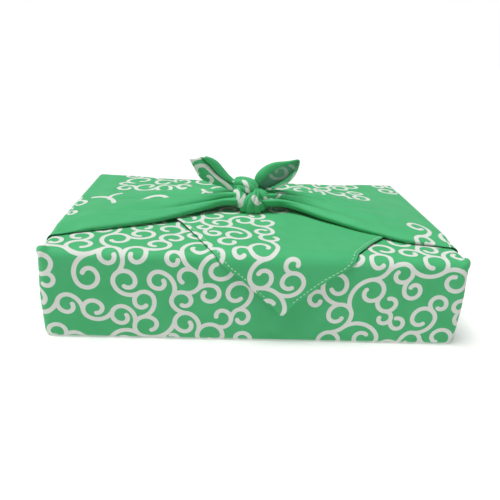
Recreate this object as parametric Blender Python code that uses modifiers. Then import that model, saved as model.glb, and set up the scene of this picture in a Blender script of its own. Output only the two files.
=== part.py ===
"""Furoshiki wrap: one square cloth folded round a box-shaped space and tied on top.

X runs along the long side, Y from front to back and Z up. The origin lies under
the middle of the wrap, on the surface it rests on. The whole cloth is one sheet:
its middle surface is laid out below and given its thickness at the end, then the
knot and the two ears are joined to it.
"""
import math
from collections import namedtuple

import bmesh
import bpy
from mathutils import Vector

MM = 0.001

# Driving dimensions of the wrap, in millimetres
WRAP_WIDTH = 326.0
WRAP_DEPTH = 209.2
CLOTH_THICKNESS = 1.2
CORNER_RADIUS = 7.0
FOOT_RADIUS = 4.0
FRONT_SHEET_LEVEL = 72.4
BACK_SHEET_LEVEL = 74.8
WING_LEVEL = 77.2
WING_FRONT_LEVEL = 74.3
WING_CLIMB = 24.0
FLAP_EDGE_RADIUS = 10.3
FLAP_LIFT_START = 30.0
FLAP_SETTLE = 0.5
FLAP_SETTLE_RATE = 1.6
CORNER_POINT = 3.4
CORNER_LIFT = 3.0

# Soft swelling of the walls and of the top, and how fast it changes along X and Y
WALL_SWELL = 1.0
WALL_SWELL_SPREAD = (47.0, 29.0)
WALL_SWELL_SHIFT = 1.1
WALL_SWELL_EVENNESS = 0.55
TOP_SWELL = 0.7
TOP_SWELL_SPREAD = (38.0, 33.0)
TOP_SWELL_SHIFT = 0.8

# Where the wings part from the front and the back sheet along the side edges
WING_FRONT = -76.0
WING_SLIT = 1.3
FRONT_SHEET_END = 82.0
FRONT_SHEET_INSET = 1.5

# How a wing fills out on its way to the knot
WING_SWELL = 5.0
WING_SWELL_START = 140.0
WING_SWELL_RUN = 120.0
WING_FRONT_SHARE = 0.13
BORDER_SHARE = 0.3
BORDER_LOSS = 0.75

# Middle of the gathered wing where it enters the knot
GATHER_HEIGHT = 85.0
GATHER_HALF_WIDTH = 12.0
GATHER_HALF_HEIGHT = 7.2
GATHER_START = 180.0
GATHER_TURN = 205.0
GATHER_RIPPLE = 0.045
GATHER_UNDER_TURNS = (275.0, 243.0, 211.0)
WING_END = 3.0
FOLD_UNDER = 13.0
FOLD_RADIUS = 1.6
BORDER_STRIP = 2.6

CLOTH_GREEN = (0.045, 0.42, 0.16, 1.0)
CLOTH_ROUGHNESS = 0.62

HALF_WIDTH = WRAP_WIDTH / 2 - CLOTH_THICKNESS / 2
HALF_DEPTH = WRAP_DEPTH / 2 - CLOTH_THICKNESS / 2
BASE_X = HALF_WIDTH - CORNER_RADIUS
BASE_Y = HALF_DEPTH - CORNER_RADIUS
FLOOR_LEVEL = CLOTH_THICKNESS / 2
SHOULDER = FRONT_SHEET_LEVEL - CORNER_RADIUS

# How finely the surfaces are laid out
LONG_STATIONS = 13
WING_STATIONS = 21
CORNER_STEPS = 4
FOOT_ROWS = 4
WALL_ROWS = 4
EDGE_ROWS_OVER_TOP = 5
FRONT_SHEET_ROWS = 8
WELD_DISTANCE = 0.01 * MM

# Outline of the back corner of the cloth as it lies over the top
FlapRow = namedtuple("FlapRow", "y left right")
TOP_ROWS = (
    FlapRow(86.0, -150.5, 150.5),
    FlapRow(68.0, -150.5, 150.5),
    FlapRow(45.0, -139.0, 150.5),
    FlapRow(22.0, -116.0, 150.5),
    FlapRow(0.0, -95.0, 150.5),
    FlapRow(-20.0, -76.0, 147.0),
    FlapRow(-40.0, -62.0, 127.0),
    FlapRow(-58.0, -54.0, 108.0),
    FlapRow(-76.0, -46.0, 91.0),
    FlapRow(-BASE_Y, -37.0, 76.0),
)

# The same corner where it turns over the front edge and hangs
EdgeRow = namedtuple("EdgeRow", "turn left right")
EDGE_ROWS = (
    EdgeRow(30.0, -34.0, 74.0),
    EdgeRow(60.0, -30.0, 72.0),
    EdgeRow(90.0, -25.0, 66.0),
)
HangRow = namedtuple("HangRow", "z left right")
HANG_ROWS = (
    HangRow(55.0, -13.0, 51.0),
    HangRow(42.0, 1.0, 36.5),
    HangRow(31.0, 13.0, 25.0),
    HangRow(25.7, 18.4, 20.6),
)

# Borders of each wing, from the side edge inwards to the knot: how far out, where the
# front and the back border lie, how low the front border rests and how gathered it is
WingRow = namedtuple("WingRow", "reach front back rest gather")
LEFT_WING = (
    WingRow(140.0, -69.0, 95.0, 74.4, 0.0),
    WingRow(124.0, -62.0, 94.0, 74.6, 0.0),
    WingRow(106.0, -55.0, 91.0, 75.2, 0.02),
    WingRow(88.0, -48.5, 86.0, 76.2, 0.05),
    WingRow(70.0, -42.0, 77.0, 77.2, 0.12),
    WingRow(53.0, -35.0, 63.0, 77.2, 0.26),
    WingRow(38.0, -28.0, 45.0, 77.4, 0.5),
    WingRow(26.0, -20.0, 28.0, 77.6, 0.8),
    WingRow(16.0, -14.0, 15.0, 77.8, 1.0),
    WingRow(WING_END, -10.0, 10.0, 77.8, 1.0),
)
RIGHT_WING = (
    WingRow(140.0, -74.0, 95.0, 74.6, 0.0),
    WingRow(124.0, -71.0, 94.0, 76.2, 0.0),
    WingRow(106.0, -64.0, 91.0, 77.2, 0.02),
    WingRow(88.0, -55.0, 86.0, 77.2, 0.05),
    WingRow(70.0, -43.5, 77.0, 77.2, 0.12),
    WingRow(53.0, -33.0, 63.0, 77.2, 0.26),
    WingRow(38.0, -24.5, 45.0, 77.4, 0.5),
    WingRow(26.0, -18.0, 28.0, 77.6, 0.8),
    WingRow(16.0, -14.0, 15.0, 77.8, 1.0),
    WingRow(WING_END, -10.0, 10.0, 77.8, 1.0),
)

# Long pleats that run along a wing and grow towards the knot
Pleat = namedtuple("Pleat", "across width height")
LEFT_PLEATS = (
    Pleat(0.15, 0.12, 3.4),
    Pleat(0.33, 0.07, -3.6),
    Pleat(0.56, 0.12, 3.4),
    Pleat(0.79, 0.08, -2.2),
)
RIGHT_PLEATS = (
    Pleat(0.14, 0.10, 3.2),
    Pleat(0.28, 0.06, -3.6),
    Pleat(0.50, 0.13, 3.2),
    Pleat(0.75, 0.08, -2.4),
)

# Packed middle of the knot, an egg shape
KNOT_CORE_PLACE = (-1.0, -0.6, 87.5)
KNOT_CORE_REACH = (14.5, 12.8, 10.8)
KNOT_CORE_SEGMENTS = 14
KNOT_CORE_RINGS = 9

# Strands of the knot: their middle line, and half the width and height along it
StrandRow = namedtuple("StrandRow", "x y z wide high")
LEFT_LOBE = (
    StrandRow(-6.0, 10.0, 91.0, 5.0, 4.5),
    StrandRow(-11.0, 3.0, 96.5, 6.2, 5.2),
    StrandRow(-12.6, -4.6, 92.0, 6.2, 5.4),
    StrandRow(-10.6, -9.6, 84.5, 5.8, 5.0),
    StrandRow(-5.0, -7.0, 81.5, 4.6, 3.8),
)
RIGHT_LOBE = (
    StrandRow(1.0, -6.0, 94.0, 4.2, 4.0),
    StrandRow(7.5, -7.4, 89.5, 5.8, 5.2),
    StrandRow(11.0, -4.0, 85.4, 6.2, 6.0),
    StrandRow(13.0, 4.0, 84.5, 5.4, 5.4),
)
FRONT_FAN = (
    StrandRow(1.6, -4.0, 97.0, 3.4, 3.0),
    StrandRow(0.6, -9.6, 92.5, 4.6, 4.2),
    StrandRow(-1.2, -12.0, 86.0, 8.4, 5.2),
    StrandRow(-1.2, -9.6, 82.2, 11.6, 5.4),
    StrandRow(-1.0, -3.0, 82.0, 8.4, 4.4),
)
TOP_LOBE = (
    StrandRow(-18.0, 2.0, 98.0, 5.6, 4.6),
    StrandRow(-11.0, -2.0, 99.6, 6.4, 5.4),
    StrandRow(-4.0, -5.8, 98.4, 6.8, 5.6),
    StrandRow(2.0, -6.6, 93.5, 4.6, 4.0),
)
LEFT_LOBE_FACING = (-0.7, -1.0, 0.2)
RIGHT_LOBE_FACING = (0.4, -1.0, 0.3)
FRONT_FAN_FACING = (0.0, -1.0, 0.1)
TOP_LOBE_FACING = (0.0, -1.0, 0.8)
STRAND_COLUMNS = 14
STRAND_STEPS = 3

# Ears: lower and upper border of each row as X and Z, how far forward it lies and how
# full its section is
EarRow = namedtuple("EarRow", "low_x low_z high_x high_z forward fullness")
LEFT_EAR = (
    EarRow(-8.0, 89.0, -4.0, 97.0, 0.0, 0.9),
    EarRow(-27.0, 95.0, -16.0, 102.0, -1.0, 0.9),
    EarRow(-40.0, 98.8, -23.0, 106.5, -0.5, 0.8),
    EarRow(-47.0, 101.6, -28.0, 112.0, 0.0, 0.75),
    EarRow(-51.3, 107.0, -33.6, 118.0, 0.0, 0.7),
    EarRow(-54.6, 113.0, -38.5, 121.0, -0.5, 0.7),
    EarRow(-58.0, 119.4, -43.5, 122.4, -1.0, 0.7),
)
RIGHT_EAR = (
    EarRow(6.0, 87.0, -3.0, 95.5, 1.0, 0.6),
    EarRow(15.0, 93.6, -0.6, 102.5, -1.0, 0.8),
    EarRow(23.2, 97.4, 2.2, 109.6, -1.0, 0.8),
    EarRow(30.5, 101.8, 8.2, 115.4, 0.0, 0.75),
    EarRow(35.5, 107.2, 17.2, 119.6, 0.5, 0.75),
    EarRow(38.0, 112.4, 25.6, 120.8, 0.5, 0.8),
    EarRow(39.4, 119.0, 33.4, 122.4, 0.0, 0.9),
)

# Sections of the ears, as shares of a row's width across it and out of it
SectionPoint = namedtuple("SectionPoint", "across out")
LEFT_EAR_SECTION = (
    SectionPoint(0.0, -0.04),
    SectionPoint(0.16, 0.07),
    SectionPoint(0.36, 0.09),
    SectionPoint(0.52, 0.02),
    SectionPoint(0.63, -0.1),
    SectionPoint(0.73, 0.05),
    SectionPoint(0.84, 0.12),
    SectionPoint(0.95, 0.07),
    SectionPoint(1.0, -0.06),
)
RIGHT_EAR_SECTION = (
    SectionPoint(0.06, 0.08),
    SectionPoint(0.0, 0.0),
    SectionPoint(0.12, -0.17),
    SectionPoint(0.34, -0.27),
    SectionPoint(0.6, -0.27),
    SectionPoint(0.84, -0.15),
    SectionPoint(0.98, 0.0),
    SectionPoint(0.94, 0.15),
    SectionPoint(0.78, 0.2),
)
EAR_TILT = 0.2


def steps(first, last, count):
    """Evenly spaced values from first to last."""
    return [first + (last - first) * index / (count - 1) for index in range(count)]


def smooth(value):
    """Soft step from 0 to 1."""
    held = min(max(value, 0.0), 1.0)
    return held * held * (3.0 - 2.0 * held)


def top_wave(x, y):
    """Gentle rise and fall shared by all the layers on the top."""
    window = math.cos(math.pi * x / (2 * BASE_X)) * math.cos(math.pi * y / (2 * BASE_Y))
    if abs(x) >= BASE_X or abs(y) >= BASE_Y:
        return 0.0
    along, across = TOP_SWELL_SPREAD
    return TOP_SWELL * window * math.sin(x / along + TOP_SWELL_SHIFT) * math.cos(y / across)


def wall_swell(station, z):
    """How far a wall stands out between its foot and its shoulder."""
    rise = math.sin(math.pi * (z - FLOOR_LEVEL) / (SHOULDER - FLOOR_LEVEL))
    along, across = WALL_SWELL_SPREAD
    turn = station.base.x / along + station.base.y / across + WALL_SWELL_SHIFT
    wave = WALL_SWELL_EVENNESS + (1.0 - WALL_SWELL_EVENNESS) * math.sin(turn)
    return WALL_SWELL * max(rise, 0.0) * wave


Station = namedtuple("Station", "base normal")


def side_positions():
    """Y of the stations along a side edge, from the front to the back."""
    ahead = [-BASE_Y, (WING_FRONT - BASE_Y) / 2, WING_FRONT]
    return ahead + steps(WING_FRONT + BORDER_STRIP, BASE_Y, WING_STATIONS - 1)


def corner(x_sign, y_sign, first_angle):
    """Stations round one upright corner, counterclockwise, without its ends."""
    base = Vector((x_sign * BASE_X, y_sign * BASE_Y, 0.0))
    found = []
    for index in range(1, CORNER_STEPS):
        angle = math.radians(first_angle + 90.0 * index / CORNER_STEPS)
        found.append(Station(base, Vector((math.cos(angle), math.sin(angle), 0.0))))
    return found


def straight(values, fixed, along_x, normal):
    """Stations along one straight wall."""
    found = []
    for value in values:
        base = Vector((value, fixed, 0.0)) if along_x else Vector((fixed, value, 0.0))
        found.append(Station(base, Vector(normal)))
    return found


def wall_segments():
    """The four runs of stations, counterclockwise, that share their end stations."""
    sides = side_positions()
    front_count = len(sides) - WING_STATIONS
    ahead = sides[:front_count + 1]
    beside = sides[front_count:]
    long_x = steps(-BASE_X, BASE_X, LONG_STATIONS)
    left_ahead = straight(reversed(ahead), -BASE_X, False, (-1.0, 0.0, 0.0))
    front = straight(long_x, -BASE_Y, True, (0.0, -1.0, 0.0))
    right_ahead = straight(ahead, BASE_X, False, (1.0, 0.0, 0.0))
    right = straight(beside, BASE_X, False, (1.0, 0.0, 0.0))
    back = straight(reversed(long_x), BASE_Y, True, (0.0, 1.0, 0.0))
    left = straight(reversed(beside), -BASE_X, False, (-1.0, 0.0, 0.0))
    front_run = left_ahead + corner(-1, -1, 180) + front + corner(1, -1, 270) + right_ahead
    back_run = [right[-1]] + corner(1, 1, 0) + back + corner(-1, 1, 90) + [left[0]]
    return front_run, right, back_run, left


def place(station, out, z):
    """Point at a distance out from a station's base."""
    flat = station.base + station.normal * out
    return Vector((flat.x, flat.y, z))


def lower_rows(stations):
    """Rows of the bottom's rim, the foot and the upright walls."""
    foot_centre = CORNER_RADIUS - FOOT_RADIUS
    rows = [[place(s, 0.0, FLOOR_LEVEL) for s in stations]]
    for turn in steps(0.0, 90.0, FOOT_ROWS):
        angle = math.radians(turn)
        out = foot_centre + FOOT_RADIUS * math.sin(angle)
        z = FLOOR_LEVEL + FOOT_RADIUS * (1.0 - math.cos(angle))
        rows.append([place(s, out, z) for s in stations])
    for z in steps(FLOOR_LEVEL + FOOT_RADIUS, SHOULDER, WALL_ROWS)[1:]:
        rows.append([place(s, CORNER_RADIUS + wall_swell(s, z), z) for s in stations])
    return rows


def wing_level(station):
    """Height of a wing at the side edge, lowest at its front border."""
    climb = smooth((station.base.y - WING_FRONT) / WING_CLIMB)
    return WING_FRONT_LEVEL + (WING_LEVEL - WING_FRONT_LEVEL) * climb


def edge_rows(stations, level_at, pointed):
    """Rows of the soft top edge, from the shoulder to a sheet's level."""
    rows = []
    for turn in steps(0.0, 90.0, EDGE_ROWS_OVER_TOP):
        angle = math.radians(turn)
        row = []
        for s in stations:
            out = CORNER_RADIUS * math.cos(angle)
            z = SHOULDER + (level_at(s) - SHOULDER) * math.sin(angle)
            slanted = abs(s.normal.x) > 0.1 and abs(s.normal.y) > 0.1
            if pointed and slanted and s.base.y < 0.0:
                bunch = math.sin(angle) * max(math.cos(angle), 0.0) ** 0.5
                out += CORNER_POINT * bunch
                z += CORNER_LIFT * bunch
            row.append(place(s, out, z))
        rows.append(row)
    return rows


def part_ends(rows, toward):
    """Draw a wing's end columns together, so that slits open at both ends."""
    for index, row in enumerate(rows):
        share = min(index / 2.0, 1.0)
        row[0].y += toward * WING_SLIT * share
        row[-1].y -= toward * WING_SLIT * share
    return rows


def front_sheet_rows():
    """Sheet from the front edge over the top, ending under the other layers."""
    sides = side_positions()
    ahead = sides[:len(sides) - WING_STATIONS + 1]
    behind = steps(WING_FRONT, FRONT_SHEET_END, FRONT_SHEET_ROWS)[1:]
    rows = []
    for y in ahead + behind:
        reach = BASE_X if y <= WING_FRONT else BASE_X - FRONT_SHEET_INSET
        row = []
        for x in steps(-reach, reach, LONG_STATIONS):
            row.append(Vector((x, y, FRONT_SHEET_LEVEL + top_wave(x, y))))
        rows.append(row)
    return rows


def back_sheet_level(y):
    """Height of the back sheet, which lifts a little towards the front edge."""
    front_lift = SHOULDER + FLAP_EDGE_RADIUS - BACK_SHEET_LEVEL
    share = (-y - FLAP_LIFT_START) / (BASE_Y - FLAP_LIFT_START)
    return BACK_SHEET_LEVEL + front_lift * smooth(share)


def back_sheet_rows():
    """Sheet from the back edge over the top and down the front to its tip."""
    rows = [[Vector((x, BASE_Y, BACK_SHEET_LEVEL)) for x in steps(BASE_X, -BASE_X, LONG_STATIONS)]]
    for flap in TOP_ROWS:
        row = []
        for x in steps(flap.right, flap.left, LONG_STATIONS):
            row.append(Vector((x, flap.y, back_sheet_level(flap.y) + top_wave(x, flap.y))))
        rows.append(row)
    for flap in EDGE_ROWS:
        angle = math.radians(flap.turn)
        y = -BASE_Y - FLAP_EDGE_RADIUS * math.sin(angle)
        z = SHOULDER + FLAP_EDGE_RADIUS * math.cos(angle)
        rows.append([Vector((x, y, z)) for x in steps(flap.right, flap.left, LONG_STATIONS)])
    edge_y = -BASE_Y - FLAP_EDGE_RADIUS
    for flap in HANG_ROWS:
        hang = (SHOULDER - flap.z) / (SHOULDER - HANG_ROWS[-1].z)
        y = edge_y + FLAP_SETTLE * smooth(hang * FLAP_SETTLE_RATE)
        rows.append([Vector((x, y, flap.z)) for x in steps(flap.right, flap.left, LONG_STATIONS)])
    return rows


def pleat_height(pleats, across, growth):
    """Height that the pleats add at a place across the wing."""
    total = 0.0
    for pleat in pleats:
        total += pleat.height * math.exp(-((across - pleat.across) / pleat.width) ** 2)
    return total * growth


def border_turn(distance):
    """Height of the round turn of a folded border, a distance in from its edge."""
    inwards = min(distance / FOLD_RADIUS, 1.0)
    return FOLD_RADIUS * (1.0 + math.sin(math.acos(1.0 - inwards)))


def wing_section(row, across, pleats):
    """Point of the upper layer: a flat spread that gathers into a rope."""
    half_y = (row.back - row.front) / 2
    middle = (row.front + row.back) / 2
    swell = smooth((WING_SWELL_START - row.reach) / WING_SWELL_RUN)
    y_flat = row.front + 2 * half_y * across
    thinning = 1.0 - BORDER_LOSS * smooth((across - BORDER_SHARE) / (1.0 - BORDER_SHARE))
    rise = border_turn(y_flat - row.front) * thinning
    rise += WING_SWELL * swell * math.sin(math.pi * across)
    low = row.rest + (WING_LEVEL - row.rest) * smooth(across / WING_FRONT_SHARE)
    z_flat = low + rise + pleat_height(pleats, across, swell)
    angle = math.radians(GATHER_START - GATHER_TURN * across)
    ripple = 1.0 + pleat_height(pleats, across, GATHER_RIPPLE)
    share = min(half_y / GATHER_HALF_WIDTH, 1.0)
    y_rope = middle + GATHER_HALF_WIDTH * share * ripple * math.cos(angle)
    z_rope = GATHER_HEIGHT + GATHER_HALF_HEIGHT * share * ripple * math.sin(angle)
    y = y_flat + (y_rope - y_flat) * row.gather
    z = z_flat + (z_rope - z_flat) * row.gather
    return y, z


def under_section(row):
    """Points of the border that is folded under, from its free end to the turn."""
    half_y = min((row.back - row.front) / 2, GATHER_HALF_WIDTH)
    middle = (row.front + row.back) / 2
    found = []
    for inwards, turn in zip((FOLD_UNDER, FOLD_UNDER / 2, FOLD_RADIUS), GATHER_UNDER_TURNS):
        y_flat = row.front + inwards
        angle = math.radians(turn)
        y_rope = middle + half_y * math.cos(angle)
        z_rope = GATHER_HEIGHT + GATHER_HALF_HEIGHT * math.sin(angle)
        y = y_flat + (y_rope - y_flat) * row.gather
        z = row.rest + (z_rope - row.rest) * row.gather
        found.append((y, z))
    return found


def wing_point(side, row, section):
    """Point of a wing, with the top's wave where the wing still lies flat."""
    y, z = section
    wave = top_wave(side * row.reach, y) * (1.0 - row.gather)
    return Vector((side * row.reach, y, z + wave))


def wing_rows(side, table, pleats, edge_row):
    """Upper layer of a wing, and its folded border, from the edge to the knot."""
    first_y = edge_row[0].y
    last_y = edge_row[-1].y
    shares = [(point.y - first_y) / (last_y - first_y) for point in edge_row]
    upper = [edge_row]
    under = []
    for index, row in enumerate(table):
        points = [wing_point(side, row, wing_section(row, across, pleats)) for across in shares]
        upper.append(points)
        if index > 0:
            turned = [wing_point(side, row, section) for section in under_section(row)]
            under.append(turned + [points[0].copy()])
    return upper, under


class Layout:
    """Gathers grids of points in millimetres into one mesh in metres."""

    def __init__(self):
        self.mesh = bmesh.new()

    def grid(self, rows, closed=False, flip=False):
        """Lay faces between rows of equal length."""
        verts = [[self.mesh.verts.new(point * MM) for point in row] for row in rows]
        count = len(verts[0])
        for lower, upper in zip(verts, verts[1:]):
            for index in range(count if closed else count - 1):
                after = (index + 1) % count
                corners = [lower[index], lower[after], upper[after], upper[index]]
                self.mesh.faces.new(reversed(corners) if flip else corners)

    def fan(self, ring, flip=False):
        """Close a ring of points with one flat face."""
        verts = [self.mesh.verts.new(point * MM) for point in ring]
        self.mesh.faces.new(reversed(verts) if flip else verts)

    def make(self, name, solid=False):
        """Weld the grids where they meet and return the finished object."""
        bmesh.ops.remove_doubles(self.mesh, verts=self.mesh.verts, dist=WELD_DISTANCE)
        if solid:
            bmesh.ops.recalc_face_normals(self.mesh, faces=self.mesh.faces)
        data = bpy.data.meshes.new(name)
        self.mesh.to_mesh(data)
        self.mesh.free()
        data.shade_smooth()
        return bpy.data.objects.new(name, data)


def distinct(points):
    """Points of a ring without neighbours that fall together."""
    kept = []
    for point in points:
        if not kept or (point - kept[-1]).length > WELD_DISTANCE / MM:
            kept.append(point)
    if (kept[0] - kept[-1]).length <= WELD_DISTANCE / MM:
        kept.pop()
    return kept


def lay_out_cloth():
    """Middle surface of the whole cloth apart from the knot and the ears."""
    front_run, right_run, back_run, left_run = wall_segments()
    ring = front_run[:-1] + right_run[:-1] + back_run[:-1] + left_run[:-1]
    layout = Layout()
    body = lower_rows(ring)
    layout.grid(body, closed=True)
    layout.fan(distinct(body[0]), flip=True)
    layout.grid(edge_rows(front_run, lambda station: FRONT_SHEET_LEVEL, True))
    layout.grid(edge_rows(back_run, lambda station: BACK_SHEET_LEVEL, False))
    layout.grid(front_sheet_rows())
    layout.grid(back_sheet_rows())
    right_edge = part_ends(edge_rows(right_run, wing_level, False), 1)
    left_edge = part_ends(edge_rows(left_run, wing_level, False), -1)
    layout.grid(right_edge)
    layout.grid(left_edge)
    upper, under = wing_rows(1, RIGHT_WING, RIGHT_PLEATS, right_edge[-1])
    layout.grid(upper)
    layout.grid(under)
    upper, under = wing_rows(-1, LEFT_WING, LEFT_PLEATS, list(reversed(left_edge[-1])))
    layout.grid(upper, flip=True)
    layout.grid(under, flip=True)
    return layout.make("furoshiki_cloth")


def refined(table):
    """Rows of numbers with smooth rows between them."""
    found = []
    last = len(table) - 1
    for index in range(last):
        around = [table[min(max(index + shift, 0), last)] for shift in (-1, 0, 1, 2)]
        for t in steps(0.0, 1.0, STRAND_STEPS + 1)[:-1]:
            row = []
            for before, first, second, after in zip(*around):
                bend = 2 * before - 5 * first + 4 * second - after
                twist = 3 * first - before - 3 * second + after
                row.append(first + t * (second - before + t * (bend + t * twist)) / 2)
            found.append(row)
    return found + [list(table[-1])]


def strand(name, table, facing, helpers):
    """Rounded strand of gathered cloth along a smooth line."""
    rows = refined(table)
    centres = [Vector(row[:3]) for row in rows]
    layout = Layout()
    rings = []
    for index, (_, _, _, wide, high) in enumerate(rows):
        before = centres[max(index - 1, 0)]
        after = centres[min(index + 1, len(centres) - 1)]
        along = (after - before).normalized()
        across = along.cross(Vector(facing)).normalized()
        outward = across.cross(along).normalized()
        ring = []
        for column in range(STRAND_COLUMNS):
            angle = 2 * math.pi * column / STRAND_COLUMNS
            reach = across * wide * math.cos(angle) + outward * high * math.sin(angle)
            ring.append(centres[index] + reach)
        rings.append(ring)
    layout.grid(rings, closed=True)
    layout.fan(rings[0])
    layout.fan(rings[-1], flip=True)
    form = layout.make(name, solid=True)
    helpers.objects.link(form)
    return form


def knot_core(helpers):
    """Packed middle of the knot."""
    edit = bmesh.new()
    bmesh.ops.create_uvsphere(
        edit, u_segments=KNOT_CORE_SEGMENTS, v_segments=KNOT_CORE_RINGS, radius=MM
    )
    for vert in edit.verts:
        for axis in range(3):
            vert.co[axis] = vert.co[axis] * KNOT_CORE_REACH[axis] + KNOT_CORE_PLACE[axis] * MM
    mesh = bpy.data.meshes.new("knot_core")
    edit.to_mesh(mesh)
    edit.free()
    form = bpy.data.objects.new("knot_core", mesh)
    helpers.objects.link(form)
    return form


def ear(name, table, section, helpers):
    """Free end of the cloth: a leaf with the folds of its section."""
    outward = Vector((0.0, -1.0, EAR_TILT)).normalized()
    rows = []
    for row in table:
        low = Vector((row.low_x, row.forward, row.low_z))
        side = Vector((row.high_x, row.forward, row.high_z)) - low
        depth = outward * side.length * row.fullness
        rows.append([low + side * point.across + depth * point.out for point in section])
    layout = Layout()
    layout.grid(rows)
    form = layout.make(name)
    helpers.objects.link(form)
    thicken(form)
    return form


def thicken(form):
    """Give a sheet the cloth's thickness, half to each side."""
    solidify = form.modifiers.new("cloth thickness", "SOLIDIFY")
    solidify.thickness = CLOTH_THICKNESS * MM
    solidify.offset = 0.0
    solidify.use_even_offset = False


def cloth_material():
    """Printed cotton, plain green here."""
    material = bpy.data.materials.new("green_cotton")
    material.use_nodes = True
    shader = material.node_tree.nodes["Principled BSDF"]
    shader.inputs["Base Color"].default_value = CLOTH_GREEN
    shader.inputs["Roughness"].default_value = CLOTH_ROUGHNESS
    shader.inputs["Metallic"].default_value = 0.0
    return material


def new_collection(name):
    """Collection linked to the scene."""
    collection = bpy.data.collections.new(name)
    bpy.context.scene.collection.children.link(collection)
    return collection


def main():
    """Build the wrap."""
    for existing in list(bpy.data.objects):
        bpy.data.objects.remove(existing)
    wrap = new_collection("furoshiki_wrap")
    helpers = new_collection("knot_forms")
    cloth = lay_out_cloth()
    wrap.objects.link(cloth)
    cloth.data.materials.append(cloth_material())
    thicken(cloth)
    forms = [
        knot_core(helpers),
        strand("knot_left_lobe", LEFT_LOBE, LEFT_LOBE_FACING, helpers),
        strand("knot_right_lobe", RIGHT_LOBE, RIGHT_LOBE_FACING, helpers),
        strand("knot_front_fan", FRONT_FAN, FRONT_FAN_FACING, helpers),
        strand("knot_top_lobe", TOP_LOBE, TOP_LOBE_FACING, helpers),
        ear("left_ear_form", LEFT_EAR, LEFT_EAR_SECTION, helpers),
        ear("right_ear_form", RIGHT_EAR, RIGHT_EAR_SECTION, helpers),
    ]
    for form in forms:
        form.hide_render = True
        form.display_type = "WIRE"
        join = cloth.modifiers.new("join " + form.name, "BOOLEAN")
        join.operation = "UNION"
        join.solver = "EXACT"
        join.object = form


main()
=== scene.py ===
"""Looks of a furoshiki wrap: one printed square of cotton, folded round a box and tied.

Lengths are in millimetres and become metres only where a mesh is made. The flat plan of
the cloth has its middle under the wrap: its first direction runs along the long side, its
second from the front corner to the back corner.
"""
from __future__ import annotations

import logging
import math
import random
from dataclasses import astuple, dataclass, field
from enum import Enum
from functools import cached_property

import bmesh
import bpy
import numpy as np
from mathutils import Matrix, Vector

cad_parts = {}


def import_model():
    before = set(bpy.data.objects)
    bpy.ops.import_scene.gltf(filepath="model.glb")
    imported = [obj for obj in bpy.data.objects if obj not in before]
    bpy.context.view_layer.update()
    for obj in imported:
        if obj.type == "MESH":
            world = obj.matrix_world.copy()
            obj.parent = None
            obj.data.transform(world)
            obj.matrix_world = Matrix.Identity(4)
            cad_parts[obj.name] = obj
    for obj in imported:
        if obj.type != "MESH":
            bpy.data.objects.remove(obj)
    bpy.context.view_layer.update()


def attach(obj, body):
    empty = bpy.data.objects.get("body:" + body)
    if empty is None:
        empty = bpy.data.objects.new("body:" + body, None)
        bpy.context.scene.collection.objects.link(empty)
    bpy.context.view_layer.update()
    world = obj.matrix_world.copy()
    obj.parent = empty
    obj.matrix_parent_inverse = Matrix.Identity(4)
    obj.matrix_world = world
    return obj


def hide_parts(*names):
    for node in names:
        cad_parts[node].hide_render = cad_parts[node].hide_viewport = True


log = logging.getLogger("furoshiki")

MM = 0.001
PLAN_MAP = "cloth plan"
PRINTED_STROKES = 5


@dataclass(frozen=True)
class WrapSizes:
    """Driving sizes of the wrap, the same as the solid's, in millimetres."""

    width: float = 326.0
    depth: float = 209.2
    solid_thickness: float = 1.2
    cloth_thickness: float = 0.5
    corner_radius: float = 7.0
    foot_radius: float = 4.0
    front_level: float = 72.4
    back_level: float = 74.8
    wing_level: float = 77.2
    wing_front_level: float = 74.3
    wing_climb: float = 24.0
    wing_front: float = -76.0
    front_sheet_end: float = 82.0
    flap_edge_radius: float = 10.3
    flap_settle: float = 0.5
    fold_radius: float = 1.6
    corner_point: float = 3.4
    corner_lift: float = 3.0
    gather_height: float = 85.0
    gather_half_width: float = 12.0
    gather_half_height: float = 7.2
    wing_end: float = 3.0
    wing_slack: float = 4.0
    square: float = 750.0

    @property
    def base_x(self) -> float:
        """Half length of the flat part of the top."""
        return self.width / 2 - self.solid_thickness / 2 - self.corner_radius

    @property
    def base_y(self) -> float:
        """Half depth of the flat part of the top."""
        return self.depth / 2 - self.solid_thickness / 2 - self.corner_radius

    @property
    def wing_plan(self) -> float:
        """Place in the plan of the middle of the top, counted along a wing."""
        return 2 * self.base_x + self.wall_path + self.wing_slack

    @property
    def floor_level(self) -> float:
        """Middle of the cloth under the wrap."""
        return self.cloth_thickness / 2

    @property
    def shoulder(self) -> float:
        """Height at which the walls begin to turn over the top."""
        return self.front_level - self.corner_radius

    @property
    def wall_path(self) -> float:
        """Length of cloth from the flat bottom to the flat top, up one wall."""
        foot = self.corner_radius - self.foot_radius + self.foot_radius * math.pi / 2
        upright = self.shoulder - self.floor_level - self.foot_radius
        return foot + upright + self.corner_radius * math.pi / 2


SIZES = WrapSizes()


class Side(Enum):
    """Which end of the wrap a wing comes from."""

    LEFT = -1
    RIGHT = 1


def smooth(value: np.ndarray | float) -> np.ndarray | float:
    """Soft step from 0 to 1.

    Args:
        value: number or array, 0 at the start of the step and 1 at its end.

    Returns:
        The stepped value, of the same shape.
    """
    held = np.clip(value, 0.0, 1.0)
    return held * held * (3.0 - 2.0 * held)


def travelled(points: np.ndarray) -> np.ndarray:
    """Length of the line through each row of points, up to each point."""
    step = np.linalg.norm(np.diff(points, axis=-2), axis=-1)
    return np.concatenate([np.zeros(step.shape[:-1] + (1,)), np.cumsum(step, -1)], -1)


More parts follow.
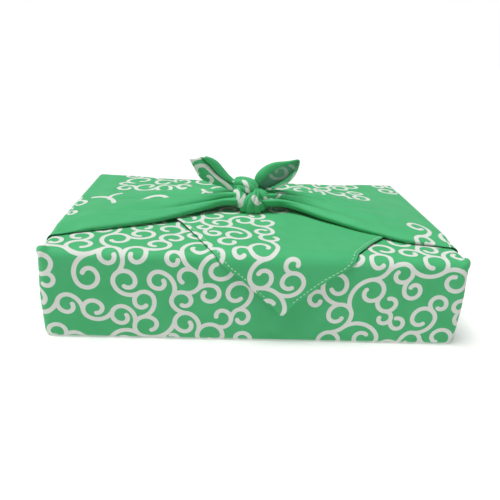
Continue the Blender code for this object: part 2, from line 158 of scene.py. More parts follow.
def cubic(t: np.ndarray, run: np.ndarray, index: np.ndarray, values: np.ndarray,
          tangent: np.ndarray) -> np.ndarray:
    """Curve between neighbouring values that leaves and meets them at given slopes.

    Args:
        t: share of the way from one value to the next.
        run: distance between the two.
        index: number of the first value.
        values: the values.
        tangent: slope at each value.

    Returns:
        Places on the curve.
    """
    first = (1 + 2 * t) * (1 - t) ** 2 * values[index] + t * (1 - t) ** 2 * run * tangent[index]
    after = index + 1
    second = t * t * (3 - 2 * t) * values[after] + t * t * (t - 1) * run * tangent[after]
    return first + second


def glide(at: np.ndarray, x: np.ndarray, y: np.ndarray) -> np.ndarray:
    """Smooth curve through points that never overshoots them.

    Args:
        at: places to read the curve at.
        x: rising places of the points.
        y: heights of the points.

    Returns:
        The curve's heights.
    """
    run = np.diff(x)
    slope = np.diff(y) / run
    tangent = np.zeros_like(y)
    product = slope[:-1] * slope[1:]
    total = np.where(np.abs(slope[:-1] + slope[1:]) > 1e-9, slope[:-1] + slope[1:], 1.0)
    tangent[1:-1] = np.where(product > 0.0, 2.0 * product / total, 0.0)
    tangent[0] = slope[0]
    tangent[-1] = slope[-1]
    index = np.clip(np.searchsorted(x, at) - 1, 0, len(run) - 1)
    share = np.clip((at - x[index]) / run[index], 0.0, 1.0)
    return cubic(share, run[index], index, y, tangent)


def top_wave(x: np.ndarray, y: np.ndarray) -> np.ndarray:
    """Gentle rise and fall that all layers on the top share, with a few faint creases.

    Args:
        x: places along the wrap.
        y: places across it.

    Returns:
        Height to add, zero along the edges.
    """
    inside = (np.abs(x) < SIZES.base_x) & (np.abs(y) < SIZES.base_y)
    window = np.cos(np.pi * x / (2 * SIZES.base_x)) * np.cos(np.pi * y / (2 * SIZES.base_y))
    broad = 0.7 * np.sin(x / 38.0 + 0.8) * np.cos(y / 33.0)
    slack = 0.30 * np.sin(x / 12.0 + y / 23.0) + 0.22 * np.sin(x / 8.0 - y / 13.0 + 1.7)
    return np.where(inside, window * (broad + slack), 0.0)


def wall_swell(x: np.ndarray, y: np.ndarray, z: np.ndarray | float) -> np.ndarray:
    """How far a wall stands out between its foot and its shoulder.

    Args:
        x: places of the stations along the wrap.
        y: places of the stations across it.
        z: heights on the wall.

    Returns:
        Distance outwards.
    """
    share = np.clip((z - SIZES.floor_level) / (SIZES.shoulder - SIZES.floor_level), 0.0, 1.0)
    rise = np.sin(np.pi * share)
    broad = 0.55 + 0.45 * np.sin(x / 47.0 + y / 29.0 + 1.1)
    slack = 0.22 * np.sin(x / 13.0 - y / 17.0 + z / 19.0)
    slack = slack + 0.14 * np.sin(x / 7.0 + y / 6.0 - z / 9.0)
    return rise * (broad + slack)


def placed(name: str, data: bpy.types.ID) -> bpy.types.Object:
    """New object of the scene, round the given data."""
    made = bpy.data.objects.new(name, data)
    bpy.context.scene.collection.objects.link(made)
    return made


def finished(name: str, source: bpy.types.Object) -> bpy.types.Object:
    """Piece with the final mesh of an object, whose modifiers are used up and which goes.

    Args:
        name: name of the piece.
        source: object with modifiers.

    Returns:
        The piece, smoothly shaded.
    """
    depsgraph = bpy.context.evaluated_depsgraph_get()
    mesh = bpy.data.meshes.new_from_object(source.evaluated_get(depsgraph))
    bpy.data.objects.remove(source)
    mesh.shade_smooth()
    return placed(name, mesh)


@dataclass
class Patch:
    """Grid of points, with the place of each point in the flat cloth."""

    points: np.ndarray
    plan: np.ndarray
    flip: bool = False


@dataclass
class Quilt:
    """Patches of one sheet, welded where they meet."""

    patches: list[Patch] = field(default_factory=list)

    def add(self, points: np.ndarray | list[np.ndarray], plan: np.ndarray | list[np.ndarray],
            flip: bool = False) -> None:
        """Add a grid, whole or as a list of its rows.

        Args:
            points: rows by columns by 3.
            plan: rows by columns by 2.
            flip: turn the faces over.
        """
        self.patches.append(Patch(np.asarray(points, float), np.asarray(plan, float), flip))

    def make(self, name: str, weld: float = 0.01) -> bpy.types.Object:
        """Make the mesh.

        Args:
            name: name of the new object.
            weld: distance within which points become one, in millimetres.

        Returns:
            An object with its plan as a UV map, in metres.
        """
        verts: list[np.ndarray] = []
        faces: list[np.ndarray] = []
        plans: list[np.ndarray] = []
        start = 0
        for patch in self.patches:
            rows, columns = patch.points.shape[:2]
            index = np.arange(rows * columns).reshape(rows, columns) + start
            quad = np.stack([index[:-1, :-1], index[:-1, 1:], index[1:, 1:], index[1:, :-1]], -1)
            quad = quad.reshape(-1, 4)
            faces.append(quad[:, ::-1] if patch.flip else quad)
            verts.append(patch.points.reshape(-1, 3))
            plans.append(patch.plan.reshape(-1, 2))
            start += rows * columns
        corners = np.concatenate(faces)
        mesh = bpy.data.meshes.new(name)
        mesh.from_pydata((np.concatenate(verts) * MM).tolist(), [], corners.tolist())
        layer = mesh.uv_layers.new(name=PLAN_MAP)
        layer.data.foreach_set("uv", (np.concatenate(plans)[corners.ravel()] * MM).ravel())
        edit = bmesh.new()
        edit.from_mesh(mesh)
        bmesh.ops.remove_doubles(edit, verts=edit.verts, dist=weld * MM)
        edit.to_mesh(mesh)
        edit.free()
        return placed(name, mesh)


@dataclass(frozen=True)
class FlapRow:
    """Where the back corner's outline lies at a place along its path."""

    place: float
    left: float
    right: float


@dataclass(frozen=True)
class WingRow:
    """Borders of a wing at a distance out from the middle."""

    reach: float
    front: float
    back: float
    rest: float
    gather: float


@dataclass(frozen=True)
class Pleat:
    """Long fold along a wing: a ridge, or a trough where its height is below zero."""

    across: float
    width: float
    height: float
    growth: float = 1.0


@dataclass
class WrapSheet:
    """The cloth round the box, its crossed layers on top and the hanging corner."""

    sizes: WrapSizes = SIZES
    long_count: int = 69
    hem_start: int = 22
    side_count: int = 62
    ahead_count: int = 7
    corner_steps: int = 5
    fine_reach: float = 45.0
    coarse_pitch: float = 3.6
    fine_pitch: float = 1.9
    hem_width: float = 3.2
    hem_ridge: float = 0.34
    droop_reach: float = 4.5
    droop_on_top: float = 1.9
    droop_at_edge: float = 1.5
    droop_hanging: float = 1.1
    gusset_depth: float = 62.0
    top_rows: tuple[FlapRow, ...] = (
        FlapRow(97.0, -152.4, 152.4),
        FlapRow(90.0, -150.5, 150.5),
        FlapRow(68.0, -150.5, 150.5),
        FlapRow(45.0, -139.0, 150.5),
        FlapRow(22.0, -116.0, 150.5),
        FlapRow(0.0, -95.0, 150.5),
        FlapRow(-20.0, -76.0, 147.0),
        FlapRow(-40.0, -62.0, 127.0),
        FlapRow(-58.0, -54.0, 108.0),
        FlapRow(-76.0, -46.0, 91.0),
        FlapRow(-97.0, -37.0, 76.0),
    )
    edge_rows: tuple[FlapRow, ...] = (
        FlapRow(0.0, -37.0, 76.0),
        FlapRow(30.0, -34.0, 74.0),
        FlapRow(60.0, -30.0, 72.0),
        FlapRow(90.0, -25.0, 66.0),
    )
    hang_rows: tuple[FlapRow, ...] = (
        FlapRow(65.4, -25.0, 66.0),
        FlapRow(55.0, -13.0, 51.0),
        FlapRow(42.0, 1.0, 36.5),
        FlapRow(31.0, 13.0, 25.0),
        FlapRow(25.7, 18.4, 20.6),
    )
    left_wing: tuple[WingRow, ...] = (
        WingRow(140.0, -69.0, 95.0, 73.5, 0.0),
        WingRow(124.0, -62.0, 94.0, 73.4, 0.0),
        WingRow(106.0, -55.0, 91.0, 73.6, 0.02),
        WingRow(88.0, -48.5, 86.0, 74.1, 0.05),
        WingRow(70.0, -42.0, 77.0, 75.3, 0.12),
        WingRow(53.0, -35.0, 63.0, 76.2, 0.26),
        WingRow(38.0, -28.0, 45.0, 76.8, 0.5),
        WingRow(26.0, -20.0, 28.0, 77.4, 0.8),
        WingRow(16.0, -14.0, 15.0, 77.8, 1.0),
        WingRow(3.0, -10.0, 10.0, 77.8, 1.0),
    )
    right_wing: tuple[WingRow, ...] = (
        WingRow(140.0, -74.0, 95.0, 73.5, 0.0),
        WingRow(124.0, -71.0, 94.0, 73.8, 0.0),
        WingRow(106.0, -64.0, 91.0, 74.8, 0.02),
        WingRow(88.0, -55.0, 86.0, 76.0, 0.05),
        WingRow(70.0, -43.5, 77.0, 76.3, 0.12),
        WingRow(53.0, -33.0, 63.0, 76.6, 0.26),
        WingRow(38.0, -24.5, 45.0, 77.0, 0.5),
        WingRow(26.0, -18.0, 28.0, 77.6, 0.8),
        WingRow(16.0, -14.0, 15.0, 77.8, 1.0),
        WingRow(3.0, -10.0, 10.0, 77.8, 1.0),
    )
    left_pleats: tuple[Pleat, ...] = (
        Pleat(0.07, 0.06, 2.6),
        Pleat(0.165, 0.026, -7.0),
        Pleat(0.27, 0.07, 3.6),
        Pleat(0.385, 0.022, -4.6),
        Pleat(0.50, 0.06, 2.4),
        Pleat(0.60, 0.025, -3.2),
        Pleat(0.70, 0.06, 2.0),
        Pleat(0.80, 0.025, -3.0),
        Pleat(0.22, 0.012, -1.4, 3.0),
        Pleat(0.32, 0.012, -1.4, 3.2),
        Pleat(0.45, 0.014, -1.3, 2.6),
        Pleat(0.9, 0.03, 1.0, 2.2),
    )
    right_pleats: tuple[Pleat, ...] = (
        Pleat(0.08, 0.055, 2.6),
        Pleat(0.18, 0.026, -6.6),
        Pleat(0.28, 0.06, 3.0),
        Pleat(0.37, 0.022, -4.0),
        Pleat(0.48, 0.08, 3.4),
        Pleat(0.60, 0.025, -3.4),
        Pleat(0.70, 0.05, 1.6),
        Pleat(0.79, 0.03, -3.2),
        Pleat(0.23, 0.012, -1.3, 3.0),
        Pleat(0.43, 0.012, -1.4, 3.0),
        Pleat(0.54, 0.014, -1.2, 2.6),
        Pleat(0.88, 0.03, 1.0, 2.2),
    )
    hem_steps: np.ndarray = field(default_factory=lambda: np.array([0.0, 0.8, 3.2, 4.4]))
    hem_lines: list[np.ndarray] = field(default_factory=list)

    def build(self, quilt: Quilt) -> None:
        """Lay every part of the sheet into the quilt.

        Args:
            quilt: collects the patches.
        """
        self.lay_bottom(quilt)
        self.lay_front(quilt)
        self.lay_back(quilt)
        for side in Side:
            self.lay_wing(quilt, side)

    def long_places(self) -> np.ndarray:
        """Places of the stations along the long walls."""
        return np.linspace(-self.sizes.base_x, self.sizes.base_x, self.long_count)

    def slit(self, z: float) -> float:
        """Line on the end walls where the front's folded corner meets the wing."""
        foot = self.sizes.floor_level + self.sizes.foot_radius
        climb = np.clip((z - foot) / (self.sizes.shoulder - foot), 0.0, 1.0)
        return -self.sizes.base_y + (self.sizes.wing_front + self.sizes.base_y) * climb

    def side_places(self, z: float) -> np.ndarray:
        """Places of a wing's stations along an end wall, at one height."""
        first = self.slit(z)
        near = first + np.array([0.0, 0.9, 2.4])
        return np.concatenate([near, np.linspace(first + 5.0, self.sizes.base_y, self.side_count)])

    def lay_bottom(self, quilt: Quilt) -> None:
        """Flat cloth that the wrap rests on."""
        x, y = np.meshgrid(self.long_places(), self.side_places(0.0))
        points = np.stack([x, y, np.full_like(x, self.sizes.floor_level)], -1)
        quilt.add(points, np.stack([x, y], -1), flip=True)

    def wall_profile(self) -> list[tuple[float, float, float]]:
        """Steps up a wall: distance out, height and length of cloth so far."""
        s = self.sizes
        centre = s.corner_radius - s.foot_radius
        steps = [(0.0, s.floor_level, 0.0)]
        for turn in np.radians([0.0, 22.5, 45.0, 67.5, 90.0]):
            out = centre + s.foot_radius * math.sin(turn)
            steps.append((out, s.floor_level + s.foot_radius * (1 - math.cos(turn)),
                          centre + s.foot_radius * turn))
        foot_top = s.floor_level + s.foot_radius
        path = centre + s.foot_radius * math.pi / 2
        for z in np.linspace(foot_top, s.shoulder, 15)[1:]:
            steps.append((s.corner_radius, float(z), path + float(z) - foot_top))
        return steps

    def edge_profile(self) -> list[float]:
        """Turns of the soft top edge, in radians."""
        return list(np.radians(np.linspace(0.0, 90.0, 8)))

    def wall_row(self, x: np.ndarray, y: np.ndarray, nx: np.ndarray, ny: np.ndarray,
                 out: float, z: float) -> np.ndarray:
        """One level row of points round a wall.

        Args:
            x: stations along the wrap.
            y: stations across it.
            nx: outward direction along the wrap.
            ny: outward direction across it.
            out: distance out from the stations.
            z: height.

        Returns:
            The row's points.
        """
        full = out >= self.sizes.corner_radius - 1e-6
        reach = out + (wall_swell(x, y, z) if full else 0.0)
        return np.stack([x + nx * reach, y + ny * reach, np.full_like(x, z)], -1)

    def front_stations(self, z: float) -> tuple[np.ndarray, ...]:
        """Stations from the left slit round the front to the right slit.

        Args:
            z: height of the row.

        Returns:
            x, y, outward x, outward y and distance along the wall.
        """
        s = self.sizes
        ahead = np.linspace(self.slit(z), -s.base_y, self.ahead_count)
        turn = np.radians(np.linspace(0.0, 90.0, self.corner_steps + 1)[1:-1])
        long_x = self.long_places()
        arc = s.corner_radius * np.pi / 2
        side_along = s.base_x + arc + (ahead + s.base_y)
        corner_along = s.base_x + arc * (1 - np.degrees(turn) / 90.0)
        x = np.concatenate([np.full_like(ahead, -s.base_x), np.full_like(turn, -s.base_x), long_x,
                            np.full_like(turn, s.base_x), np.full_like(ahead, s.base_x)])
        y = np.concatenate([ahead, np.full_like(turn, -s.base_y), np.full_like(long_x, -s.base_y),
                            np.full_like(turn, -s.base_y), ahead[::-1]])
        nx = np.concatenate([np.full_like(ahead, -1.0), -np.cos(turn), np.zeros_like(long_x),
                             np.cos(turn[::-1]), np.full_like(ahead, 1.0)])
        ny = np.concatenate([np.zeros_like(ahead), -np.sin(turn), np.full_like(long_x, -1.0),
                             -np.sin(turn[::-1]), np.zeros_like(ahead)])
        along = np.concatenate([-side_along, -corner_along, long_x, corner_along[::-1],
                                side_along[::-1]])
        return x, y, nx, ny, along

    def lay_front(self, quilt: Quilt) -> None:
        """Front wall with its folded corners, and the first sheet over the top."""
        s = self.sizes
        rows, plans = [], []
        for out, z, path in self.wall_profile():
            x, y, nx, ny, along = self.front_stations(z)
            rows.append(self.wall_row(x, y, nx, ny, out, z))
            plans.append(np.stack([along, np.full_like(along, -s.base_y - path)], -1))
        quilt.add(rows, plans)
        x, y, nx, ny, along = self.front_stations(s.shoulder)
        path = self.wall_profile()[-1][2]
        corner = (np.abs(nx) > 0.05) & (np.abs(ny) > 0.05)
        rows, plans = [], []
        for turn in self.edge_profile():
            bunch = math.sin(turn) * max(math.cos(turn), 0.0) ** 0.5
            out = s.corner_radius * math.cos(turn) + np.where(corner, s.corner_point * bunch, 0.0)
            z = s.shoulder + (s.front_level - s.shoulder) * math.sin(turn)
            level = z + np.where(corner, s.corner_lift * bunch, 0.0)
            rows.append(np.stack([x + nx * out, y + ny * out, level], -1))
            plans.append(np.stack([along, np.full_like(along, -s.base_y - path
                                                       - s.corner_radius * turn)], -1))
        edge, plan = np.stack(rows), np.stack(plans)
        lap = np.linspace(0.0, 1.0, len(rows))
        edge[:, 0, 1] += 4.0 * smooth(lap * 2)
        edge[:, -1, 1] += 4.0 * smooth(lap * 2)
        a = self.ahead_count
        left_plan = self.side_edge_plan(edge[:, :a], -1)
        right_plan = self.side_edge_plan(edge[:, -a:], 1)
        quilt.add(edge[:, :a], left_plan)
        quilt.add(edge[:, a - 1:len(x) - a + 1], plan[:, a - 1:len(x) - a + 1])
        quilt.add(edge[:, -a:], right_plan)
        self.lay_front_sheet(quilt, edge[-1, :a, 1][::-1])

    def side_edge_plan(self, edge: np.ndarray, side: int) -> np.ndarray:
        """Plan of the end edges that belong to the front sheet.

        Args:
            edge: points of the edge.
            side: -1 at the left, 1 at the right.

        Returns:
            Plan that carries on from the top sheet's.
        """
        s = self.sizes
        turns = np.array(self.edge_profile())
        out = (np.pi / 2 - turns)[:, None] * s.corner_radius
        first = side * (s.base_x + out) + 0.0 * edge[:, :, 0]
        second = -(s.base_y + s.wall_path + (edge[:, :, 1] + s.base_y))
        return np.stack([first, second], -1)

    def lay_front_sheet(self, quilt: Quilt, ahead: np.ndarray) -> None:
        """First sheet over the top, whose end is turned back under itself.

        Args:
            quilt: collects the patches.
            ahead: places of the rows that share the end edges, from the front.
        """
        s = self.sizes
        beyond = np.linspace(ahead[-1], s.front_sheet_end, 36)[1:]
        rows, plans = [], []
        for y in np.concatenate([ahead, beyond]):
            reach = s.base_x if y <= ahead[-1] + 1e-6 else s.base_x - 1.5
            x = self.long_places() * reach / s.base_x
            z = s.front_level + top_wave(x, np.full_like(x, y))
            rows.append(np.stack([x, np.full_like(x, y), z], -1))
            plans.append(np.stack([x, np.full_like(x, -(2 * s.base_y + s.wall_path + y))], -1))
        quilt.add(rows, plans)
        turned, turned_plans = [rows[-1]], [plans[-1]]
        reach = s.base_x - 1.5
        x = self.long_places() * reach / s.base_x
        level, past = s.front_level, plans[-1][:, 1]
        for start, end, drop in ((s.front_sheet_end, -88.0, 1.7), (-88.0, -14.0, 1.2)):
            outward = math.copysign(1.0, start - end)
            for turn in np.radians([45.0, 90.0, 135.0]):
                y = np.full_like(x, start + outward * drop / 2 * math.sin(turn))
                z = level - drop / 2 * (1 - math.cos(turn)) + top_wave(x, y)
                turned.append(np.stack([x, y, z], -1))
                turned_plans.append(np.stack([x, past - drop / 2 * turn], -1))
            level -= drop
            past = past - drop * math.pi / 2
            for y in np.linspace(start, end, max(int(abs(start - end) / 6.0), 2)):
                z = level + top_wave(x, np.full_like(x, y))
                turned.append(np.stack([x, np.full_like(x, y), z], -1))
                turned_plans.append(np.stack([x, past - abs(start - y)], -1))
            past = past - abs(start - end)
        quilt.add(turned, turned_plans)

    def lay_back(self, quilt: Quilt) -> None:
        """Back wall, the second sheet over the top and the corner that hangs in front."""
        s = self.sizes
        turn = np.radians(np.linspace(0.0, 90.0, self.corner_steps + 1))
        long_x = self.long_places()[::-1]
        arc = s.corner_radius * np.pi / 2
        x = np.concatenate([np.full(len(turn) - 1, s.base_x), long_x,
                            np.full(len(turn) - 1, -s.base_x)])
        y = np.full_like(x, s.base_y)
        nx = np.concatenate([np.cos(turn[:-1]), np.zeros_like(long_x), -np.cos(turn[:-1])[::-1]])
        ny = np.concatenate([np.sin(turn[:-1]), np.ones_like(long_x), np.sin(turn[:-1])[::-1]])
        spare = arc * (1 - np.degrees(turn[:-1]) / 90.0)
        along = np.concatenate([s.base_x + spare, long_x, -s.base_x - spare[::-1]])
        rows, plans = [], []
        for out, z, path in self.wall_profile():
            rows.append(self.wall_row(x, y, nx, ny, out, z))
            plans.append(np.stack([along, np.full_like(along, s.base_y + path)], -1))
        path = self.wall_profile()[-1][2]
        for turn_up in self.edge_profile()[1:]:
            out = s.corner_radius * math.cos(turn_up)
            z = s.shoulder + (s.back_level - s.shoulder) * math.sin(turn_up)
            inset = 0.35 * math.sin(turn_up) * math.cos(turn_up)
            rows.append(np.stack([x + nx * (out - inset), y + ny * (out - inset),
                                  np.full_like(x, z)], -1))
            plans.append(np.stack([along, np.full_like(along, s.base_y + path
                                                       + s.corner_radius * turn_up)], -1))
        quilt.add(rows, plans)
        self.lay_flap(quilt)

    def back_level_at(self, y: np.ndarray) -> np.ndarray:
        """Height of the second sheet, which lifts a little towards the front edge."""
        s = self.sizes
        lift = s.shoulder + s.flap_edge_radius - s.back_level
        return s.back_level + lift * smooth((-y - 30.0) / (s.base_y - 30.0))

    def flap_path(self) -> tuple[np.ndarray, np.ndarray, np.ndarray, np.ndarray]:
        """The corner's path from the back edge to its tip.

        Returns:
            For each row its y, its height and the outline's left and right.
        """
        s = self.sizes
        top_y = np.linspace(s.base_y, -s.base_y, 52)
        turns = np.linspace(0.0, 90.0, 9)[1:]
        edge_y = -s.base_y - s.flap_edge_radius * np.sin(np.radians(turns))
        edge_z = s.shoulder + s.flap_edge_radius * np.cos(np.radians(turns))
        tip = self.hang_rows[-1].place
        hang_z = np.linspace(s.shoulder, tip, 15)[1:]
        share = (s.shoulder - hang_z) / (s.shoulder - tip)
        hang_y = -s.base_y - s.flap_edge_radius + s.flap_settle * smooth(share * 1.6)
        tables = ((self.top_rows, top_y), (self.edge_rows, turns), (self.hang_rows, hang_z))
        left, right = np.concatenate([self.outline(rows, at) for rows, at in tables], 1)
        y = np.concatenate([top_y, edge_y, hang_y])
        return y, np.concatenate([self.back_level_at(top_y), edge_z, hang_z]), left, right

    def outline(self, rows: tuple[FlapRow, ...], at: np.ndarray) -> np.ndarray:
        """Left and right of the flap at places along the path of one table."""
        table = np.array(sorted(astuple(row) for row in rows))
        return np.array([np.interp(at, table[:, 0], table[:, side]) for side in (1, 2)])

    def lay_flap(self, quilt: Quilt) -> None:
        """Second sheet over the top, down to the tip of the hanging corner."""
        s = self.sizes
        y, z, left, right = self.flap_path()
        path = s.base_y + s.wall_path + travelled(np.stack([y, z], -1))
        even = np.linspace(0.0, 1.0, self.long_count)[None, :]
        width = (right - left)[:, None]
        hem = np.minimum(self.hem_steps[None, :] / width, 0.1 * np.arange(1, 5)[None, :])
        hem[:, 0] = 0.0
        inner = np.linspace(0.0, 1.0, self.long_count - 6)[1:-1][None, :]
        between = hem[:, -1:] + (1.0 - 2 * hem[:, -1:]) * inner
        hemmed = np.concatenate([hem, between, 1.0 - hem[:, ::-1]], 1)[:, :self.long_count]
        hemmed[:, -1] = 1.0
        begun = smooth(np.arange(len(y)) / 6.0)[:, None]
        share = even + (hemmed - even) * begun
        x = right[:, None] - width * share
        grid_y = np.repeat(y[:, None], x.shape[1], 1)
        inward = np.minimum(share, 1.0 - share) * width
        ridge = self.hem_ridge * (1.0 - smooth((inward - self.hem_width) / 1.2)) * begun
        over_edge = smooth((-grid_y - s.base_y) / s.flap_edge_radius)
        droop = np.exp(-inward / self.droop_reach) * smooth((-grid_y - 40.0) / 50.0)
        hanging = smooth((s.shoulder + 4.0 - z) / 14.0)[:, None]
        grid_z = z[:, None] + top_wave(x, grid_y) + ridge * (1.0 - over_edge)
        grid_z = grid_z - self.droop_on_top * droop * (1.0 - hanging)
        grid_y = grid_y - ridge * over_edge - self.droop_hanging * droop * hanging
        grid_y = grid_y + self.droop_at_edge * droop * over_edge * (1.0 - hanging)
        over = smooth((-grid_y - s.base_y) / 4.0)
        curl = 0.5 * np.sin(x / 17.0 + 0.6) * over * smooth((s.shoulder - grid_z + 12.0) / 30.0)
        grid_y = grid_y - np.abs(curl)
        plan = np.stack([x, np.repeat(path[:, None], x.shape[1], 1)], -1)
        points = np.stack([x, grid_y, grid_z], -1)
        down, along = np.gradient(points, axis=0), np.gradient(points, axis=1)
        normal = np.cross(along, down)
        normal /= np.linalg.norm(normal, axis=2)[..., None] + 1e-9
        raised = points + normal * (s.cloth_thickness / 2 + 0.05)
        self.hem_lines = [raised[self.hem_start:-4, column] for column in (2, -3)]
        quilt.add(points, plan)

    def wing_level_at(self, y: np.ndarray) -> np.ndarray:
        """Height of a wing at the end edge, lowest at its front border."""
        s = self.sizes
        climb = smooth((y - s.wing_front) / s.wing_climb)
        return s.wing_front_level + (s.wing_level - s.wing_front_level) * climb

    def lay_wing(self, quilt: Quilt, side: Side) -> None:
        """End wall and the wing that runs from it to the knot.

        Args:
            quilt: collects the patches.
            side: which end.
        """
        s = self.sizes
        sign = side.value
        flip = side is Side.LEFT
        rows, plans = [], []
        for out, z, path in self.wall_profile():
            y = self.side_places(z)
            x = np.full_like(y, sign * s.base_x)
            row = self.wall_row(x, y, np.full_like(y, float(sign)), np.zeros_like(y), out, z)
            step = 0.55 * np.exp(-(y - y[0]) / 9.0) * smooth((y - y[0]) / 1.0)
            row[:, 0] += sign * step * smooth((z - 8.0) / 12.0) * smooth((s.shoulder + 1 - z) / 6.0)
            rows.append(row)
            plans.append(np.stack([np.full_like(y, sign * (s.base_x + path)), y], -1))
        quilt.add(rows, plans, flip=flip)
        path = self.wall_profile()[-1][2]
        y = self.side_places(s.shoulder)
        level = self.wing_level_at(y)
        rows, plans = [], []
        turns = self.edge_profile()
        for index, turn in enumerate(turns):
            share = min(index / 3.0, 1.0)
            shifted = y.copy()
            shifted[0] -= 1.5 * share
            shifted[1] -= 0.9 * share
            out = np.full_like(y, s.corner_radius * math.cos(turn))
            out += 0.7 * np.exp(-(y - y[0]) / 6.0) * math.sin(turn) * math.cos(turn) * 2
            z = s.shoulder + (level - s.shoulder) * math.sin(turn)
            rows.append(np.stack([sign * (s.base_x + out), shifted, z], -1))
            length = path + s.corner_radius * turn
            plans.append(np.stack([np.full_like(y, sign * (s.base_x + length)), y], -1))
        quilt.add(rows, plans, flip=flip)
        self.lay_wing_top(quilt, side, rows[-1], y)

    def wing_tables(self, side: Side) -> tuple[tuple[WingRow, ...], tuple[Pleat, ...]]:
        """The rows and pleats of one wing."""
        if side is Side.LEFT:
            return self.left_wing, self.left_pleats
        return self.right_wing, self.right_pleats

    def pleat_height(self, pleats: tuple[Pleat, ...], across: np.ndarray,
                     growth: float) -> np.ndarray:
        """Height that the pleats add across one row."""
        total = np.zeros_like(across)
        for pleat in pleats:
            away = np.abs((across - pleat.across) / pleat.width)
            fall = np.exp(-away ** (2.0 if pleat.height > 0 else 1.2))
            total += pleat.height * fall * growth ** pleat.growth
        return total

    def lay_wing_top(self, quilt: Quilt, side: Side, edge: np.ndarray, y0: np.ndarray) -> None:
        """The wing's upper layer and its borders, which are folded under.

        Args:
            quilt: collects the patches.
            side: which end.
            edge: last row of the end edge.
            y0: plan places of that row.
        """
        s = self.sizes
        sign = side.value
        table, pleats = self.wing_tables(side)
        first = edge[0, 1], edge[-1, 1]
        begin = WingRow(s.base_x, first[0], first[1], s.wing_front_level - 0.6, 0.0)
        columns = np.array([astuple(row) for row in (begin, *table)]).T
        inward = s.base_x - columns[0]
        coarse = np.arange(0.0, s.base_x - self.fine_reach, self.coarse_pitch)
        fine = np.arange(s.base_x - self.fine_reach, inward[-1] + 0.01, self.fine_pitch)
        places = np.concatenate([coarse, fine])
        front, back, rest, gather = (glide(places, inward, column) for column in columns[1:])
        across = (edge[:, 1] - first[0]) / (first[1] - first[0])
        rows = [edge]
        lower_front: list[np.ndarray] = []
        lower_back: list[np.ndarray] = []
        for i in range(1, len(places)):
            reach = s.base_x - places[i]
            x = sign * reach
            swell = float(smooth((140.0 - reach) / 120.0))
            begun = float(smooth(places[i] / 26.0))
            width = back[i] - front[i]
            y_flat = front[i] + width * across
            low = rest[i] + (s.wing_level - rest[i]) * smooth((y_flat - front[i]) / s.wing_climb)
            inner = np.minimum((y_flat - front[i]) / s.fold_radius, 1.0)
            turn = s.fold_radius * (1.0 + np.sin(np.arccos(np.clip(1.0 - inner, -1.0, 1.0))))
            outer = np.minimum((back[i] - y_flat) / s.fold_radius, 1.0)
            hem = 0.5 * np.sin(np.arccos(np.clip(1.0 - outer, -1.0, 1.0)))
            rise = begun * turn * (1.0 - 0.75 * smooth((across - 0.3) / 0.7)) + begun * (hem - 0.5)
            rise = rise + 5.0 * swell * np.sin(np.pi * across)
            z_flat = low + rise + self.pleat_height(pleats, across, swell)
            half = min(width / 2, s.gather_half_width)
            middle = (front[i] + back[i]) / 2
            ripple = 1.0 + 0.055 * self.pleat_height(pleats, across, 1.0)
            shrink = min(width / 2 / s.gather_half_width, 1.0)
            angle = np.radians(180.0 - 205.0 * across)
            y_rope = middle + half * ripple * np.cos(angle)
            z_rope = s.gather_height + s.gather_half_height * shrink * ripple * np.sin(angle)
            y = y_flat + (y_rope - y_flat) * gather[i]
            z = z_flat + (z_rope - z_flat) * gather[i]
            wave = top_wave(np.full_like(y, x), y) * (1.0 - gather[i])
            rows.append(np.stack([np.full_like(y, x), y, z + wave], -1))
            spread = 0.04 + 0.96 * float(smooth(places[i] / 30.0))
            lower_front.append(self.under_row(x, front[i], middle, half, rest[i], gather[i],
                                              spread * min(74.0, 0.45 * width), 1.0, rows[-1][0]))
            lower_back.append(self.under_row(x, back[i], middle, half, 76.1, gather[i],
                                             spread * min(70.0, 0.42 * width), -1.0,
                                             rows[-1][-1]))
        grid = np.stack(rows)
        across_length = travelled(grid)
        centre = int(0.45 * len(across))
        second = across_length - across_length[:, centre:centre + 1] + y0[centre]
        inward_all = sign * (s.base_x + s.wall_path + s.wing_slack + places)
        plan = np.stack([np.repeat(inward_all[:, None], grid.shape[1], 1), second], -1)
        flip = side is Side.LEFT
        quilt.add(grid, plan, flip=flip)
        skipped = len(rows) - len(lower_front)
        self.lay_under(quilt, np.stack(lower_front), plan[skipped:, 0], -1.0, flip)
        self.lay_under(quilt, np.stack(lower_back), plan[skipped:, -1], 1.0, not flip)

    def under_row(self, x: float, border: float, middle: float, half: float, level: float,
                  gather: float, width: float, inward: float, last: np.ndarray) -> np.ndarray:
        """Row of a border that is folded under, from its free end to the turn.

        Args:
            x: place along the wrap.
            border: place of the border.
            middle: middle of the gathered section.
            half: half width of the gathered section.
            level: height at which the folded part lies.
            gather: how gathered the row is.
            width: width of the folded part.
            inward: 1 where the wing lies behind the border, -1 where it lies in front.
            last: the border's own point.

        Returns:
            The row's points.
        """
        s = self.sizes
        share = np.linspace(1.0, 0.0, 10)[:-1]
        y_flat = border + inward * (s.fold_radius + max(width - s.fold_radius, 0.4) * share)
        y_flat[-1] = border + inward * s.fold_radius * 0.6
        z_flat = np.full_like(share, level)
        start = 211.0 if inward > 0 else -33.0
        angle = np.radians(start + inward * 60.0 * share)
        inner = half - 1.4
        y_rope = middle + inner * np.cos(angle)
        z_rope = s.gather_height + (s.gather_half_height - 1.0) * np.sin(angle)
        y = y_flat + (y_rope - y_flat) * gather
        z = z_flat + (z_rope - z_flat) * gather
        wave = top_wave(np.full_like(y, x), y) * (1.0 - gather)
        row = np.stack([np.full_like(y, x), y, z + wave], -1)
        return np.concatenate([row, last[None, :]], 0)

